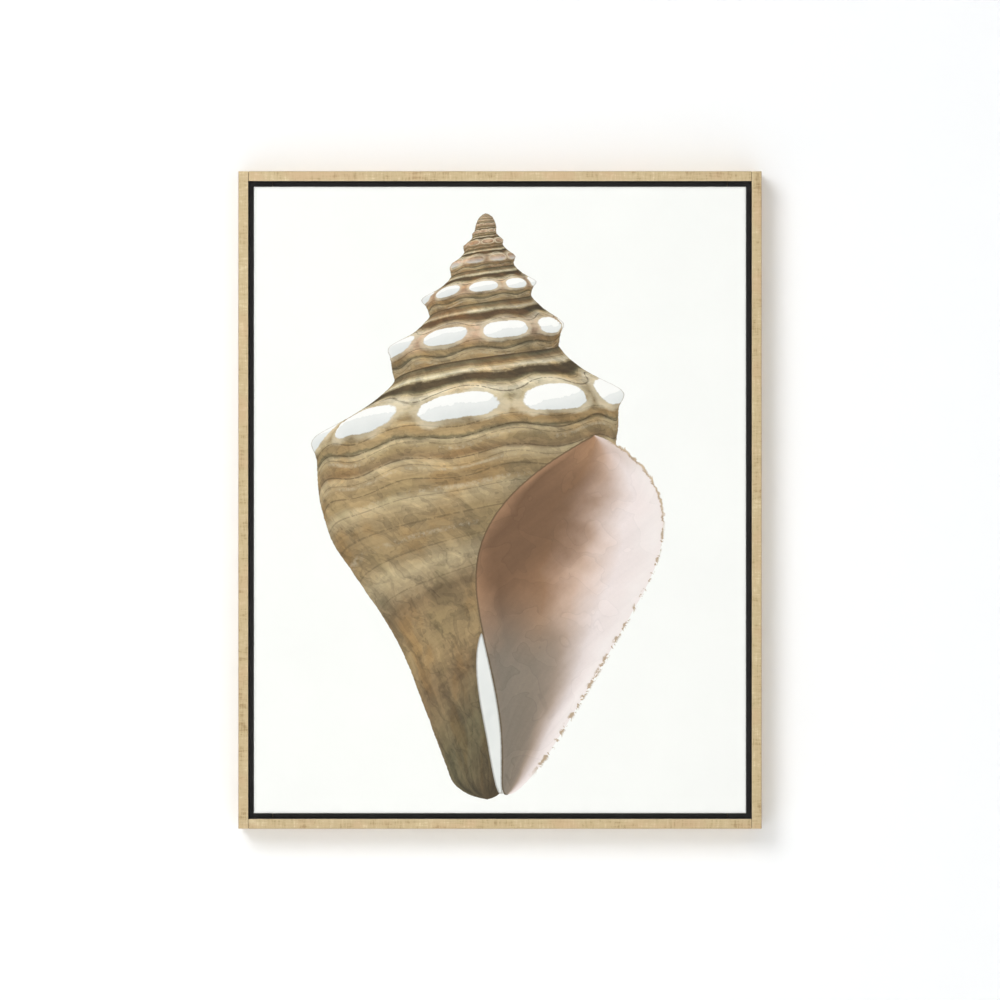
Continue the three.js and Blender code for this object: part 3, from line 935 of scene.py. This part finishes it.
def make_gold_material(moulding, name, upright):
    """Pale gold wash over a linen-like grain, thin and mottled. Wear and painted shade darken the outer
    arrises, and a painted highlight runs along the front's inner edge.
    """
    material, s = new_material(name)
    place = s.position()
    x, y, z = s.parts(place)
    along, across, edge = (z, x, FRAME_X - abs(x)) if upright else (x, z, HALF_HEIGHT - abs(z - MIDDLE_Z))
    threads = s.noise(s.vector(along * 55.0, across * 900.0, y * 900.0), 1.0, 3.0, 0.6)
    ticks = s.noise(s.vector(along * 430.0, across * 60.0, y * 60.0), 1.0, 4.0, 0.7)
    patch = s.noise(s.vector(along * 48.0, across * 110.0, y * 110.0), 1.0, 4.0, 0.62, 0.4)
    drift = s.noise(place, 8.0, 2.0)
    amount = (patch - 0.5) * 1.3 + (threads - 0.5) + (ticks - 0.5) * 1.6 + (drift - 0.5) * 0.4
    amount = s.math("ADD", amount, 0.5, clamp=True)
    tint = s.ramp(amount, [
        (0.0, moulding.gold_dark), (0.40, moulding.gold), (0.62, moulding.gold),
        (1.0, moulding.gold_light)])
    warm = s.step(s.noise(place, 21.0, 2.0), 0.48, 0.66)
    tint = s.mix(warm, tint, s.mix(0.5, tint, moulding.gold_warm))
    # Darker along the outer arrises: rubbed wear, and painted shade on the rounded edge.
    arris = s.math("MAXIMUM", edge, y - FRONT)
    worn_and_shaded_arris = s.fall(arris, 0.0003, 0.0011) * s.spread(patch, 0.3, 0.7, 0.45, 0.9)
    tint = s.mix(worn_and_shaded_arris, tint, moulding.gold_dark)
    # Painted highlight along the front's inner edge.
    tint = s.mix(s.near(edge, FACE - 0.0009, 0.0007) * 0.5, tint, moulding.gold_light)
    dust = s.group("dust", vector=place, blotch=30.0, speckle=1400.0, amount=0.05)
    s.dress(
        s.darken(tint, dust["Shade"]), s.spread(amount, 0.0, 1.0, 0.64, 0.46),
        threads * 0.5 + ticks * 0.6, 0.35, 0.0003)
    s.feed(s.surface.inputs["Metallic"], 0.15)
    return material


def make_channel_material(moulding):
    """Near-black paint inside the moulding, with a little dust on it."""
    material, s = new_material("channel_black")
    place = s.position()
    brush = s.noise(s.stretched(place, (90.0, 400.0, 90.0)), 1.0, 3.0)
    dust = s.group("dust", vector=place, blotch=40.0, speckle=1500.0, amount=0.25)
    tint = s.mix(s.spread(brush, 0.3, 0.8, 0.0, 0.35), moulding.channel, moulding.channel_worn)
    roughness = s.spread(dust["Fine"], 0.3, 0.7, 0.5, 0.72)
    s.dress(s.darken(tint, dust["Shade"]), roughness, brush, 0.2, 0.0002)
    return material


def make_wood_material(name, light, dark, upright, rings=90.0):
    """Bare wood with its grain along the bar."""
    material, s = new_material(name)
    place = s.position()
    x, y, z = s.parts(place)
    along, across = (z, x) if upright else (x, z)
    grain = s.group("grain", along=along, across=across, through=y, light=light, dark=dark, rings=rings)
    dust = s.group("dust", vector=place, blotch=18.0, speckle=700.0, amount=0.08)
    roughness = s.spread(grain["Height"], 0.0, 0.6, 0.85, 0.68)
    s.dress(s.darken(grain["Color"], dust["Shade"]), roughness, grain["Height"], 0.35, 0.0003)
    return material


def make_metal_material(name, tint, roughness, streak):
    """Plated metal: drawn or stamped streaks, fine scratches and dull patches."""
    material, s = new_material(name)
    place = s.position()
    drawn = s.noise(s.stretched(place, streak), 1.0, 3.0, 0.6)
    dull = s.spread(s.noise(place, 420.0, 3.0), 0.3, 0.7, roughness, roughness + 0.18)
    dust = s.group("dust", vector=place, blotch=160.0, speckle=2400.0, amount=0.22)
    s.dress(s.darken(tint, dust["Shade"]), dull + (drawn - 0.5) * 0.12, drawn, 0.15, 0.0001)
    s.feed(s.surface.inputs["Metallic"], 0.95)
    return material


def make_pad_material(hardware):
    """Dark moulded rubber, slightly pebbled."""
    material, s = new_material("pad_rubber")
    place = s.position()
    pebble = s.noise(place, 1800.0, 2.0)
    dust = s.group("dust", vector=place, blotch=220.0, speckle=1500.0, amount=0.3)
    roughness = s.spread(pebble, 0.3, 0.7, 0.62, 0.8)
    s.dress(s.darken(hardware.rubber, dust["Shade"]), roughness, pebble, 0.3, 0.0002)
    return material


def fade_to_white(s, start, end):
    """The dressed surface, turned white for the camera beyond a distance from the picture."""
    x, y, z = s.parts(s.position())
    from_middle = {0: s.vector(x, y, z - MIDDLE_Z)}
    reach = s.read("ShaderNodeVectorMath", from_middle, "Value", operation="LENGTH")
    away = s.read("ShaderNodeLightPath", None, "Is Camera Ray") * s.step(reach, start, end)
    white = s.read("ShaderNodeEmission", {"Color": WHITE})
    return s.read("ShaderNodeMixShader", {0: away, 1: Value(s, s.surface.outputs[0]), 2: white})


def make_wall_material(stage):
    """Plain wall that shows from the front and lets views and light from behind through."""
    material, s = new_material("stage_wall")
    s.dress(s.darken(stage.wall, s.spread(s.noise(s.position(), 0.8, 1.0), 0.3, 0.7, 0.995, 1.0)), 1.0)
    s.feed(s.surface.inputs["Specular IOR Level"], 0.0)
    behind = s.read("ShaderNodeNewGeometry", None, "Backfacing")
    hidden = s.math("MAXIMUM", behind, s.read("ShaderNodeLightPath", None, "Is Shadow Ray"))
    clear = s.read("ShaderNodeBsdfTransparent")
    plain = fade_to_white(s, start=1.0, end=2.2)
    blend = s.read("ShaderNodeMixShader", {0: hidden, 1: plain, 2: clear})
    s.feed(s.output.inputs["Surface"], blend)
    return material


def make_floor_material(stage):
    """Plain pale floor with a faint unevenness."""
    material, s = new_material("stage_floor")
    s.dress(s.darken(stage.floor, s.spread(s.noise(s.position(), 1.3, 2.0), 0.3, 0.7, 0.985, 1.0)), 0.8)
    s.feed(s.output.inputs["Surface"], fade_to_white(s, start=1.7, end=3.2))
    return material


def make_room(stage):
    """Even light from all round, which looks white itself."""
    room = bpy.data.worlds.new("room")
    room.use_nodes = True
    s = Shader(room.node_tree)
    background = room.node_tree.nodes["Background"]
    s.feed(background.inputs["Color"], DAYLIGHT)
    seen = s.read("ShaderNodeLightPath", None, "Is Camera Ray")
    s.feed(background.inputs["Strength"], s.spread(seen, 0.0, 1.0, stage.sky, 1.0))
    return room


# ---- Operators: one for each piece or group of like pieces ----
class FLOATFRAME_OT_stage(bpy.types.Operator):
    """Make the wall, the floor, the lights and the camera"""
    bl_idname = "floatframe.stage"
    bl_label = "Stage"

    def execute(self, context):
        stage = context.scene.floatframe_stage
        middle = Vector((0, 0, MIDDLE_Z))
        bpy.ops.mesh.primitive_plane_add(
            size=stage.room, location=(0, GAP, MIDDLE_Z), rotation=(math.pi / 2, 0, 0))
        wall = named("wall")
        coat(wall, make_wall_material(stage))
        bpy.ops.mesh.primitive_plane_add(size=stage.room, location=(0, 0, MIDDLE_Z - stage.drop))
        floor = named("floor")
        coat(floor, make_floor_material(stage))
        lights = (
            ("key_light", stage.key, 2.0, Vector((-1.8, -3.8, 2.0))),
            ("fill_light", stage.fill, 4.4, Vector((-0.1, -4.2, 0.2))),
            ("back_light", stage.back, 3.0, Vector((1.6, 3.8, 1.4))),
            ("overhead_light", stage.overhead, 4.0, Vector((0.0, 2.4, 3.4))))
        for name, watts, size, offset in lights:
            bpy.ops.object.light_add(type="AREA", location=middle + offset)
            light = context.active_object
            light.name = name
            light.data.energy = watts
            light.data.size = size
            light.data.color = DAYLIGHT
            light.visible_camera = False
            light.rotation_euler = (-offset).to_track_quat("-Z", "Y").to_euler()
        context.scene.world = make_room(stage)
        context.scene.view_settings.view_transform = "Standard"
        bpy.ops.object.camera_add(
            location=(0, FRONT - stage.distance, MIDDLE_Z), rotation=(math.pi / 2, 0, 0))
        camera = context.active_object
        camera.name = "camera"
        camera.data.lens = camera.data.sensor_width * stage.distance / stage.span
        context.scene.camera = camera
        return {"FINISHED"}


def nodes_named(start):
    return sorted(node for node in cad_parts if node.startswith(start))


def screw_holes(piece, nodes):
    """Countersinks the moulding's back wherever a screw goes through this piece."""
    low, high = Vector(piece.bound_box[0]), Vector(piece.bound_box[6])
    for node in nodes:
        screw_low, screw_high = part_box(node)
        at = (screw_low + screw_high) / 2
        if not (low.x < at.x < high.x and low.z < at.z < high.z):
            continue
        head = (screw_high.x - screw_low.x) / 2 + GAP
        shank = SCREW_SHANK + GAP
        neck = screw_high.y - SCREW_NECK - GAP
        cutter = rod(node + "_hole", shank, low.y, neck, (at.x, at.z), 40)
        with editing(cutter):
            select_facing(cutter, (0, 1, 0))
            draw_out([(neck, shank), (screw_high.y - SCREW_RIM - GAP, head), (BACK + CLEAR, head)], at)
        cut_with(piece, cutter)


def coat_moulding(piece, grain, inwards):
    """Gold outside, black in the channel, bare wood behind.

    inwards(centre) is how far a face's middle is from the moulding's outer side.
    """
    def in_channel(centre, normal):
        behind_lip = centre.y > FRONT + GOLD_LIP and inwards(centre) > FACE - 2 * GAP
        return behind_lip and normal.y < 0.5 and (grain == "level" or abs(normal.z) < 0.5)

    def left_bare(centre, normal):
        leg_edge = centre.y > LEG_FRONT + GAP and inwards(centre) > RING - GAP
        back_edge = centre.y > BACK - GAP and inwards(centre) < FACE / 2
        return normal.y > 0.5 or leg_edge or back_edge

    names = (f"gold_{grain}", "channel_black", f"bare_{grain}")
    coat(piece, *(bpy.data.materials[name] for name in names))
    coat_faces(piece, names.index("channel_black"), in_channel)
    coat_faces(piece, names.index(f"bare_{grain}"), left_bare)


class FLOATFRAME_OT_moulding(bpy.types.Operator):
    """Make the two stiles and the two rails of the float frame"""
    bl_idname = "floatframe.moulding"
    bl_label = "Moulding"

    def execute(self, context):
        settings = context.scene.floatframe_moulding
        make_channel_material(settings)
        for grain in ("level", "upright"):
            upright = grain == "upright"
            make_gold_material(settings, f"gold_{grain}", upright)
            make_wood_material(f"bare_{grain}", settings.bare, settings.bare_dark, upright, rings=60.0)
        kinds = (
            ("stile", ("left", "right"), "upright", self.shape_stile, lambda c: FRAME_X - abs(c.x)),
            ("rail", ("bottom", "top"), "level", self.shape_rail,
             lambda c: HALF_HEIGHT - abs(c.z - MIDDLE_Z)))
        for kind, names, grain, shape, inwards in kinds:
            for side, name in zip(SIDES, names):
                piece = shape(side, f"moulding_{name}")
                ease_edges(piece, settings.ease)
                screw_holes(piece, nodes_named("screw_"))
                smooth(piece)
                coat_moulding(piece, grain, inwards)
                place_piece(piece, "frame_finish", f"frame_{kind}_{name}")
        return {"FINISHED"}

    def shape_stile(self, side, name):
        """A tall wall, with a leg drawn inwards from its back."""
        outer, inner = side * FRAME_X, side * (FRAME_X - FACE)
        low, high = min(outer, inner), max(outer, inner)
        stile = block(name, (low, FRONT, FRAME_BOTTOM), (high, BACK, FRAME_TOP))
        with editing(stile):
            split(stile, (0, LEG_FRONT, 0), (0, 1, 0))
            select_facing(stile, (-side, 0, 0), lambda c: c.y > LEG_FRONT)
            extrude((side * (FACE - RING), 0, 0))
        return stile

    def shape_rail(self, up, name):
        """A wall between the stiles' walls, whose leg stops short of the stiles' legs."""
        outer = FRAME_TOP if up > 0 else FRAME_BOTTOM
        inner = outer - up * FACE
        low, high = min(outer, inner), max(outer, inner)
        rail = block(name, (rail_low.x, FRONT, low), (rail_high.x, LEG_FRONT - GAP, high))
        with editing(rail):
            for side in SIDES:
                split(rail, (side * LEG_STOP, 0, 0), (1, 0, 0))
            select_facing(rail, (0, 1, 0), lambda c: abs(c.x) < LEG_STOP)
            extrude((0, GAP, 0))
            extrude((0, BACK - LEG_FRONT, 0))
            select_facing(rail, (0, 0, -up), lambda c: c.y > LEG_FRONT)
            extrude((0, 0, up * (FACE - RING)))
        return rail


class FLOATFRAME_OT_canvas(bpy.types.Operator):
    """Make the stretched canvas, folded over the stretcher, with its painted shell"""
    bl_idname = "floatframe.canvas"
    bl_label = "Canvas"

    def execute(self, context):
        settings = context.scene.floatframe_canvas
        study = context.scene.floatframe_study
        sheet = self.fold_sheet(settings)
        self.keep_fields(sheet, settings, study)
        coat(sheet, make_print_material(settings, study), make_raw_cloth_material(settings))
        middle = Vector((0, (canvas_low.y + canvas_high.y) / 2, MIDDLE_Z))
        coat_faces(sheet, 1, lambda c, n: n.dot(middle - c) > 0)
        smooth(sheet, 0.9)
        place_piece(sheet, "canvas_cloth", "canvas")
        return {"FINISHED"}

    def fold_sheet(self, settings):
        """Draws the front out into sides and a hem, then back along the inside."""
        fold, thick = settings.fold, settings.thick
        front, back = canvas_low.y, canvas_high.y
        sheet = cloth_grid(
            "canvas_print", settings.columns, settings.rows, (0, front, MIDDLE_Z),
            2 * (CANVAS_X - fold), 2 * (CANVAS_HALF_Z - fold))
        arc = [math.pi / 2 * step / 3 for step in (1, 2, 3)]
        outside = (
            [(fold * (math.sin(a) - 1), front + fold * (1 - math.cos(a))) for a in arc]
            + [(0, front + (back - front) * share) for share in (0.35, 0.7)]
            + [(fold * (math.cos(a) - 1), back - fold * (1 - math.sin(a))) for a in [0.0] + arc]
            + [(-settings.hem * share, back) for share in (0.35, 0.7, 1.0)])
        inner = fold - thick
        inside = (
            [(-settings.hem, back - thick), (-fold, back - thick)]
            + [(-thick - inner * (1 - math.cos(a)), back - fold + inner * math.sin(a))
               for a in (arc[1], 0.0)]
            + [(-thick, front + fold), (-fold, front + thick), (-settings.hem / 2, front + thick)])
        with editing(sheet):
            select(sheet, "edges", lambda edge: edge.is_boundary)
            grown, at = -fold, front
            for outset, depth in outside + inside:
                extrude((0, depth - at, 0))
                wider = (CANVAS_X + outset) / (CANVAS_X + grown)
                taller = (CANVAS_HALF_Z + outset) / (CANVAS_HALF_Z + grown)
                bpy.ops.transform.resize(value=(wider, 1, taller), center_override=(0, depth, MIDDLE_Z))
                grown, at = outset, depth
            bpy.ops.mesh.edge_face_add()
            bpy.ops.mesh.select_all(action="SELECT")
            bpy.ops.mesh.normals_make_consistent(inside=False)
        return sheet

    def keep_fields(self, sheet, settings, study):
        """Stores on the cloth's points where each lies in the shell study."""
        count = len(sheet.data.vertices)
        places = np.empty(count * 3, np.float32)
        sheet.data.vertices.foreach_get("co", places)
        places = places.reshape(-1, 3)
        across = np.linspace(-CANVAS_X, CANVAS_X, 2 * settings.columns + 1)
        up = np.linspace(-CANVAS_HALF_Z, CANVAS_HALF_Z, 2 * settings.rows + 1)
        x, z = np.meshgrid(across, up)
        inside, whorl, turn, depth = shell_fields(study, x, z)
        light = hill_light(depth, across[1] - across[0], up[1] - up[0])
        mouth, mouth_across, mouth_down = mouth_fields(x, z)
        fields = {
            "inside": inside, "whorl": whorl, "turn": turn, "light": light, "mouth": mouth,
            "mouth_across": mouth_across, "mouth_down": mouth_down, "canal": canal_field(x, z)}
        column = (places[:, 0] + CANVAS_X) / (across[1] - across[0])
        row = (places[:, 2] - MIDDLE_Z + CANVAS_HALF_Z) / (up[1] - up[0])
        i = np.clip(column.astype(int), 0, len(across) - 2)
        j = np.clip(row.astype(int), 0, len(up) - 2)
        a, b = np.clip(column - i, 0, 1), np.clip(row - j, 0, 1)
        behind = places[:, 1] > canvas_low.y + settings.fold
        for name, grid in fields.items():
            low = grid[j, i] * (1 - a) + grid[j, i + 1] * a
            high = grid[j + 1, i] * (1 - a) + grid[j + 1, i + 1] * a
            value = low * (1 - b) + high * b
            if name in ("inside", "mouth", "canal"):
                value = np.where(behind, OUTSIDE, value)
            stored = sheet.data.attributes.new(name, "FLOAT", "POINT")
            stored.data.foreach_set("value", value.astype(np.float32))


class FLOATFRAME_OT_stretcher(bpy.types.Operator):
    """Make the four mitred stretcher bars and the brace across them"""
    bl_idname = "floatframe.stretcher"
    bl_label = "Stretcher"

    def execute(self, context):
        settings = context.scene.floatframe_stretcher
        for grain in ("level", "upright"):
            make_wood_material(f"pine_{grain}", settings.light, settings.dark, grain == "upright")
        middle = (brace_low + brace_high) / 2
        tenons = Vector((brace_high.x, settings.tenon_thick / 2, settings.tenon_width / 2))
        tenons += Vector((GAP, GAP, GAP))
        for name, outwards in (
                ("left", (-1, 0, 0)), ("right", (1, 0, 0)), ("top", (0, 0, 1)), ("bottom", (0, 0, -1))):
            bar = self.shape_bar(f"stretcher_{name}", Vector(outwards), settings)
            upright = outwards[0] != 0
            if upright:
                cut_with(bar, block("mortise", middle - tenons, middle + tenons))
            self.finish_wood(bar, "pine_upright" if upright else "pine_level", f"stretcher_{name}")
        self.finish_wood(self.shape_brace(settings), "pine_level", "stretcher_brace")
        return {"FINISHED"}

    def finish_wood(self, piece, material, node):
        smooth(piece)
        coat(piece, bpy.data.materials[material])
        place_piece(piece, "stretcher_wood", node)

    def shape_bar(self, node, outwards, settings):
        """A mitred bar whose front falls away behind the lip that carries the cloth."""
        low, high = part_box(node)
        middle = (low + high) / 2
        bar = block(node.replace("stretcher", "bar"), low, high)
        along = Vector((abs(outwards.z), 0, abs(outwards.x)))
        edge = (high - middle).dot(Vector(map(abs, outwards)))

        def out(vertex):
            return (vertex.co - middle).dot(outwards)

        with editing(bar):
            for end in SIDES:
                select(bar, "verts", lambda v: out(v) < 0 and end * (v.co - middle).dot(along) > 0)
                bpy.ops.transform.translate(value=-end * BAR_WIDTH * along)
            split(bar, middle + outwards * (edge - settings.lip), outwards)
            select(bar, "verts", lambda v: out(v) < GAP - edge and v.co.y < middle.y)
            bpy.ops.transform.translate(value=(0, settings.slope, 0))
        ease_edges(bar, settings.ease, angle=0.5)
        return bar

    def shape_brace(self, settings):
        """A flat board with a tenon drawn from each end."""
        shoulder = brace_high.x - settings.tenon
        brace = block(
            "brace", (-shoulder, brace_low.y, brace_low.z), (shoulder, brace_high.y, brace_high.z))
        middle = (brace_low + brace_high) / 2
        ease_edges(brace, settings.ease)
        thin = settings.tenon_thick / (brace_high.y - brace_low.y)
        narrow = settings.tenon_width / (brace_high.z - brace_low.z)
        for side in SIDES:
            with editing(brace):
                select_facing(brace, (side, 0, 0))
                extrude((0, 0, 0))
                bpy.ops.transform.resize(
                    value=(1, thin, narrow), center_override=(side * shoulder, middle.y, middle.z))
                extrude((side * settings.tenon, 0, 0))
        return brace


def set_copies(pattern, nodes, slot, end, turn=None):
    """Puts a copy of the piece on one end of every node, then takes the pattern away."""
    for node in nodes:
        low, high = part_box(node)
        twin = copy_of(pattern, f"{pattern.name}_{node.split('_')[-1]}")
        if turn:
            spin_round(twin, turn(node))
        shift(twin, ((low.x + high.x) / 2, (low.y, high.y)[end], (low.z + high.z) / 2))
        place_piece(twin, slot, node)
    bpy.data.objects.remove(pattern)


class FLOATFRAME_OT_screws(bpy.types.Operator):
    """Make one countersunk screw and set a copy in each hole"""
    bl_idname = "floatframe.screws"
    bl_label = "Screws"

    def execute(self, context):
        nodes = nodes_named("screw_")
        low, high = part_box(nodes[0])
        head, long = (high.x - low.x) / 2, high.y - low.y
        screw = rod("wood_screw", head, -SCREW_RIM, 0, sides=24)
        y = -SCREW_NECK - SCREW_PITCH
        stations = [(-SCREW_RIM, head), (-SCREW_NECK, SCREW_CORE * 1.15), (y, SCREW_CORE)]
        while y - SCREW_PITCH > SCREW_RIM * 4 - long:
            stations += [(y - share * SCREW_PITCH, radius) for share, radius in SCREW_THREAD]
            y -= SCREW_PITCH
        stations.append((-long, SCREW_CORE * 0.08))
        with editing(screw):
            select_facing(screw, (0, -1, 0))
            draw_out(stations)
        deep = SCREW_NECK / 2
        for wide, tall in ((CROSS_REACH, CROSS_HALF), (CROSS_HALF, CROSS_REACH)):
            cut_with(screw, block("slot", (-wide, -deep, -tall), (wide, SCREW_RIM, tall)))
        ease_edges(screw, SCREW_RIM / 5, 1)
        smooth(screw)
        hardware = context.scene.floatframe_hardware
        coat(screw, make_metal_material("zinc", hardware.zinc, 0.34, (300.0, 300.0, 300.0)))
        turns = {node: 0.9 * index for index, node in enumerate(nodes)}
        set_copies(screw, nodes, "screw_zinc", BACK_END, turns.get)
        return {"FINISHED"}


class FLOATFRAME_OT_staples(bpy.types.Operator):
    """Make one staple and drive a copy through the hem at each place"""
    bl_idname = "floatframe.staples"
    bl_label = "Staples"

    def execute(self, context):
        nodes = nodes_named("staple_")
        low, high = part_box(nodes[0])
        crown, wide, long = (high.x - low.x) / 2, (high.z - low.z) / 2, high.y - low.y
        leg = crown - STAPLE_WIRE
        staple = block("wire_staple", (-crown, -STAPLE_WIRE, -wide), (crown, 0, wide))
        with editing(staple):
            for side in SIDES:
                split(staple, (side * leg, 0, 0), (1, 0, 0))
            select_facing(staple, (0, -1, 0), lambda c: abs(c.x) > leg)
            extrude((0, STAPLE_WIRE - long, 0))
        ease_edges(staple, 0.3 * STAPLE_WIRE)
        smooth(staple)
        hardware = context.scene.floatframe_hardware
        coat(staple, make_metal_material("steel", hardware.steel, 0.3, (900.0, 120.0, 900.0)))
        set_copies(staple, nodes, "staple_steel", BACK_END, self.turn)
        return {"FINISHED"}

    def turn(self, node):
        low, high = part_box(node)
        return 0.0 if high.x - low.x > high.z - low.z else math.pi / 2


class FLOATFRAME_OT_hangers(bpy.types.Operator):
    """Make one toothed hanger and one nail, and set copies on the top rail"""
    bl_idname = "floatframe.hangers"
    bl_label = "Hangers"

    def execute(self, context):
        hardware = context.scene.floatframe_hardware
        brass = make_metal_material("brass", hardware.brass, 0.36, (60.0, 400.0, 900.0))
        for pattern, nodes, end in (
                (self.shape_hanger(), ["hanger_left", "hanger_right"], FRONT_END),
                (self.shape_nail(), nodes_named("hanger_nail_"), BACK_END)):
            coat(pattern, brass)
            set_copies(pattern, nodes, "hanger_brass", end)
        return {"FINISHED"}

    def shape_hanger(self):
        """A strip with teeth along its lower edge and its middle standing off the moulding.

        It is shaped at its own height and then moved down to the origin.
        """
        low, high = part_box("hanger_left")
        half, rim, centre_z = (high.x - low.x) / 2, (high.z - low.z) / 2, (low.z + high.z) / 2
        inner_foot = half - HANGER_FOOT
        raised = inner_foot - HANGER_RAMP
        columns = round(2 * half / TOOTH_STEP)
        hanger = cloth_grid("toothed_hanger", columns, 2, (0, 0, centre_z), 2 * half, 2 * rim)

        def in_notch(v):
            toothed = abs(v.co.x) < (NOTCHES + 0.2) * 2 * TOOTH_STEP
            return v.co.z < low.z + GAP and toothed and round(v.co.x / TOOTH_STEP) % 2 == 0

        def is_corner(v):
            return abs(v.co.x) > half - GAP and abs(v.co.z - centre_z) > rim - GAP

        with editing(hanger):
            select(hanger, "verts", in_notch)
            bpy.ops.transform.translate(value=(0, 0, TOOTH_DEPTH))
            for side in SIDES:
                split(hanger, (side * inner_foot, 0, 0), (1, 0, 0))
                split(hanger, (side * raised, 0, 0), (1, 0, 0))
            select(hanger, "verts", lambda v: abs(v.co.x) < raised + GAP)
            bpy.ops.transform.translate(value=(0, high.y - low.y - HANGER_SHEET, 0))
            select(hanger, "verts", is_corner)
            bpy.ops.mesh.bevel(offset=HANGER_CORNER, segments=5, affect="VERTICES")
            bpy.ops.mesh.select_all(action="SELECT")
            bpy.ops.mesh.normals_make_consistent(inside=False)
        finish_with(hanger, "SOLIDIFY", thickness=HANGER_SHEET, offset=1.0)
        # An open strip can thicken to either side, and its front belongs at the origin.
        if Vector(hanger.bound_box[0]).y < -GAP:
            shift(hanger, (0, HANGER_SHEET, 0))
        for side in SIDES:
            at = (side * (half - HANGER_FOOT / 2), centre_z)
            cut_with(hanger, rod("hole", NAIL_HOLE, -CLEAR, HANGER_SHEET + 2 * CLEAR, at, 24))
        ease_edges(hanger, 0.12 * HANGER_SHEET, 2, 0.5)
        smooth(hanger)
        shift(hanger, (0, 0, -centre_z))
        return hanger

    def shape_nail(self):
        """A short nail with a low domed head, its top at the origin."""
        low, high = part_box("hanger_nail_1")
        head, long = (high.x - low.x) / 2, high.y - low.y
        nail = rod("hanger_pin", NAIL_SHANK, NAIL_POINT - long, -NAIL_HEAD, sides=24)
        with editing(nail):
            select_facing(nail, (0, -1, 0))
            draw_out([(NAIL_POINT - long, NAIL_SHANK), (-long, NAIL_SHANK * 0.05)])
            select_facing(nail, (0, 1, 0))
            draw_out([
                (-NAIL_HEAD, NAIL_SHANK), (-NAIL_HEAD, head), *dome(-NAIL_HEAD, 0, head, 0, 5, 5.5),
                (0, head * 0.04)])
        smooth(nail)
        return nail


class FLOATFRAME_OT_pads(bpy.types.Operator):
    """Make one rubber pad and stick a copy on each lower corner"""
    bl_idname = "floatframe.pads"
    bl_label = "Pads"

    def execute(self, context):
        low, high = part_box("pad_left")
        radius, thick = (high.x - low.x) / 2, high.y - low.y
        base, dished = PAD_BASE * thick, thick - PAD_DISH
        pad = rod("rubber_pad", radius, 0, base, sides=64)
        with editing(pad):
            select_facing(pad, (0, 1, 0))
            draw_out([
                (base, radius), *dome(base, thick, radius, PAD_BASE * radius, 6, 6),
                (thick, radius * 0.4), (dished, radius * 0.34), (dished, radius * 0.05)])
        smooth(pad)
        coat(pad, make_pad_material(context.scene.floatframe_hardware))
        set_copies(pad, ["pad_left", "pad_right"], "pad_felt", FRONT_END)
        return {"FINISHED"}


# ---- Panel and registration ----
OPERATORS = (
    FLOATFRAME_OT_stage, FLOATFRAME_OT_moulding, FLOATFRAME_OT_canvas, FLOATFRAME_OT_stretcher,
    FLOATFRAME_OT_screws, FLOATFRAME_OT_staples, FLOATFRAME_OT_hangers, FLOATFRAME_OT_pads)
SETTINGS = {
    "floatframe_stage": StageSettings, "floatframe_moulding": MouldingSettings,
    "floatframe_canvas": CanvasSettings, "floatframe_study": StudySettings,
    "floatframe_stretcher": StretcherSettings, "floatframe_hardware": HardwareSettings}


class FLOATFRAME_PT_panel(bpy.types.Panel):
    """Lists the steps that make the framed canvas, and what can be changed"""
    bl_idname = "FLOATFRAME_PT_panel"
    bl_label = "Framed Canvas"
    bl_space_type = "VIEW_3D"
    bl_region_type = "UI"
    bl_category = "Framed Canvas"

    def draw(self, context):
        for operator in OPERATORS:
            self.layout.operator(operator.bl_idname)
        for name, kind in SETTINGS.items():
            box = self.layout.box()
            box.label(text=kind.__doc__)
            for key in kind.__annotations__:
                box.prop(getattr(context.scene, name), key)


def register():
    for kind in (*SETTINGS.values(), *OPERATORS, FLOATFRAME_PT_panel):
        bpy.utils.register_class(kind)
    for name, kind in SETTINGS.items():
        setattr(bpy.types.Scene, name, bpy.props.PointerProperty(type=kind))


def unregister():
    for name in SETTINGS:
        delattr(bpy.types.Scene, name)
    for kind in (FLOATFRAME_PT_panel, *reversed(OPERATORS), *SETTINGS.values()):
        bpy.utils.unregister_class(kind)


def main():
    register()
    make_weave_group()
    make_grain_group()
    make_dust_group()
    bpy.ops.floatframe.stage()
    bpy.ops.floatframe.moulding()
    bpy.ops.floatframe.canvas()
    bpy.ops.floatframe.stretcher()
    bpy.ops.floatframe.screws()
    bpy.ops.floatframe.staples()
    bpy.ops.floatframe.hangers()
    bpy.ops.floatframe.pads()


if __name__ == "__main__":
    main()
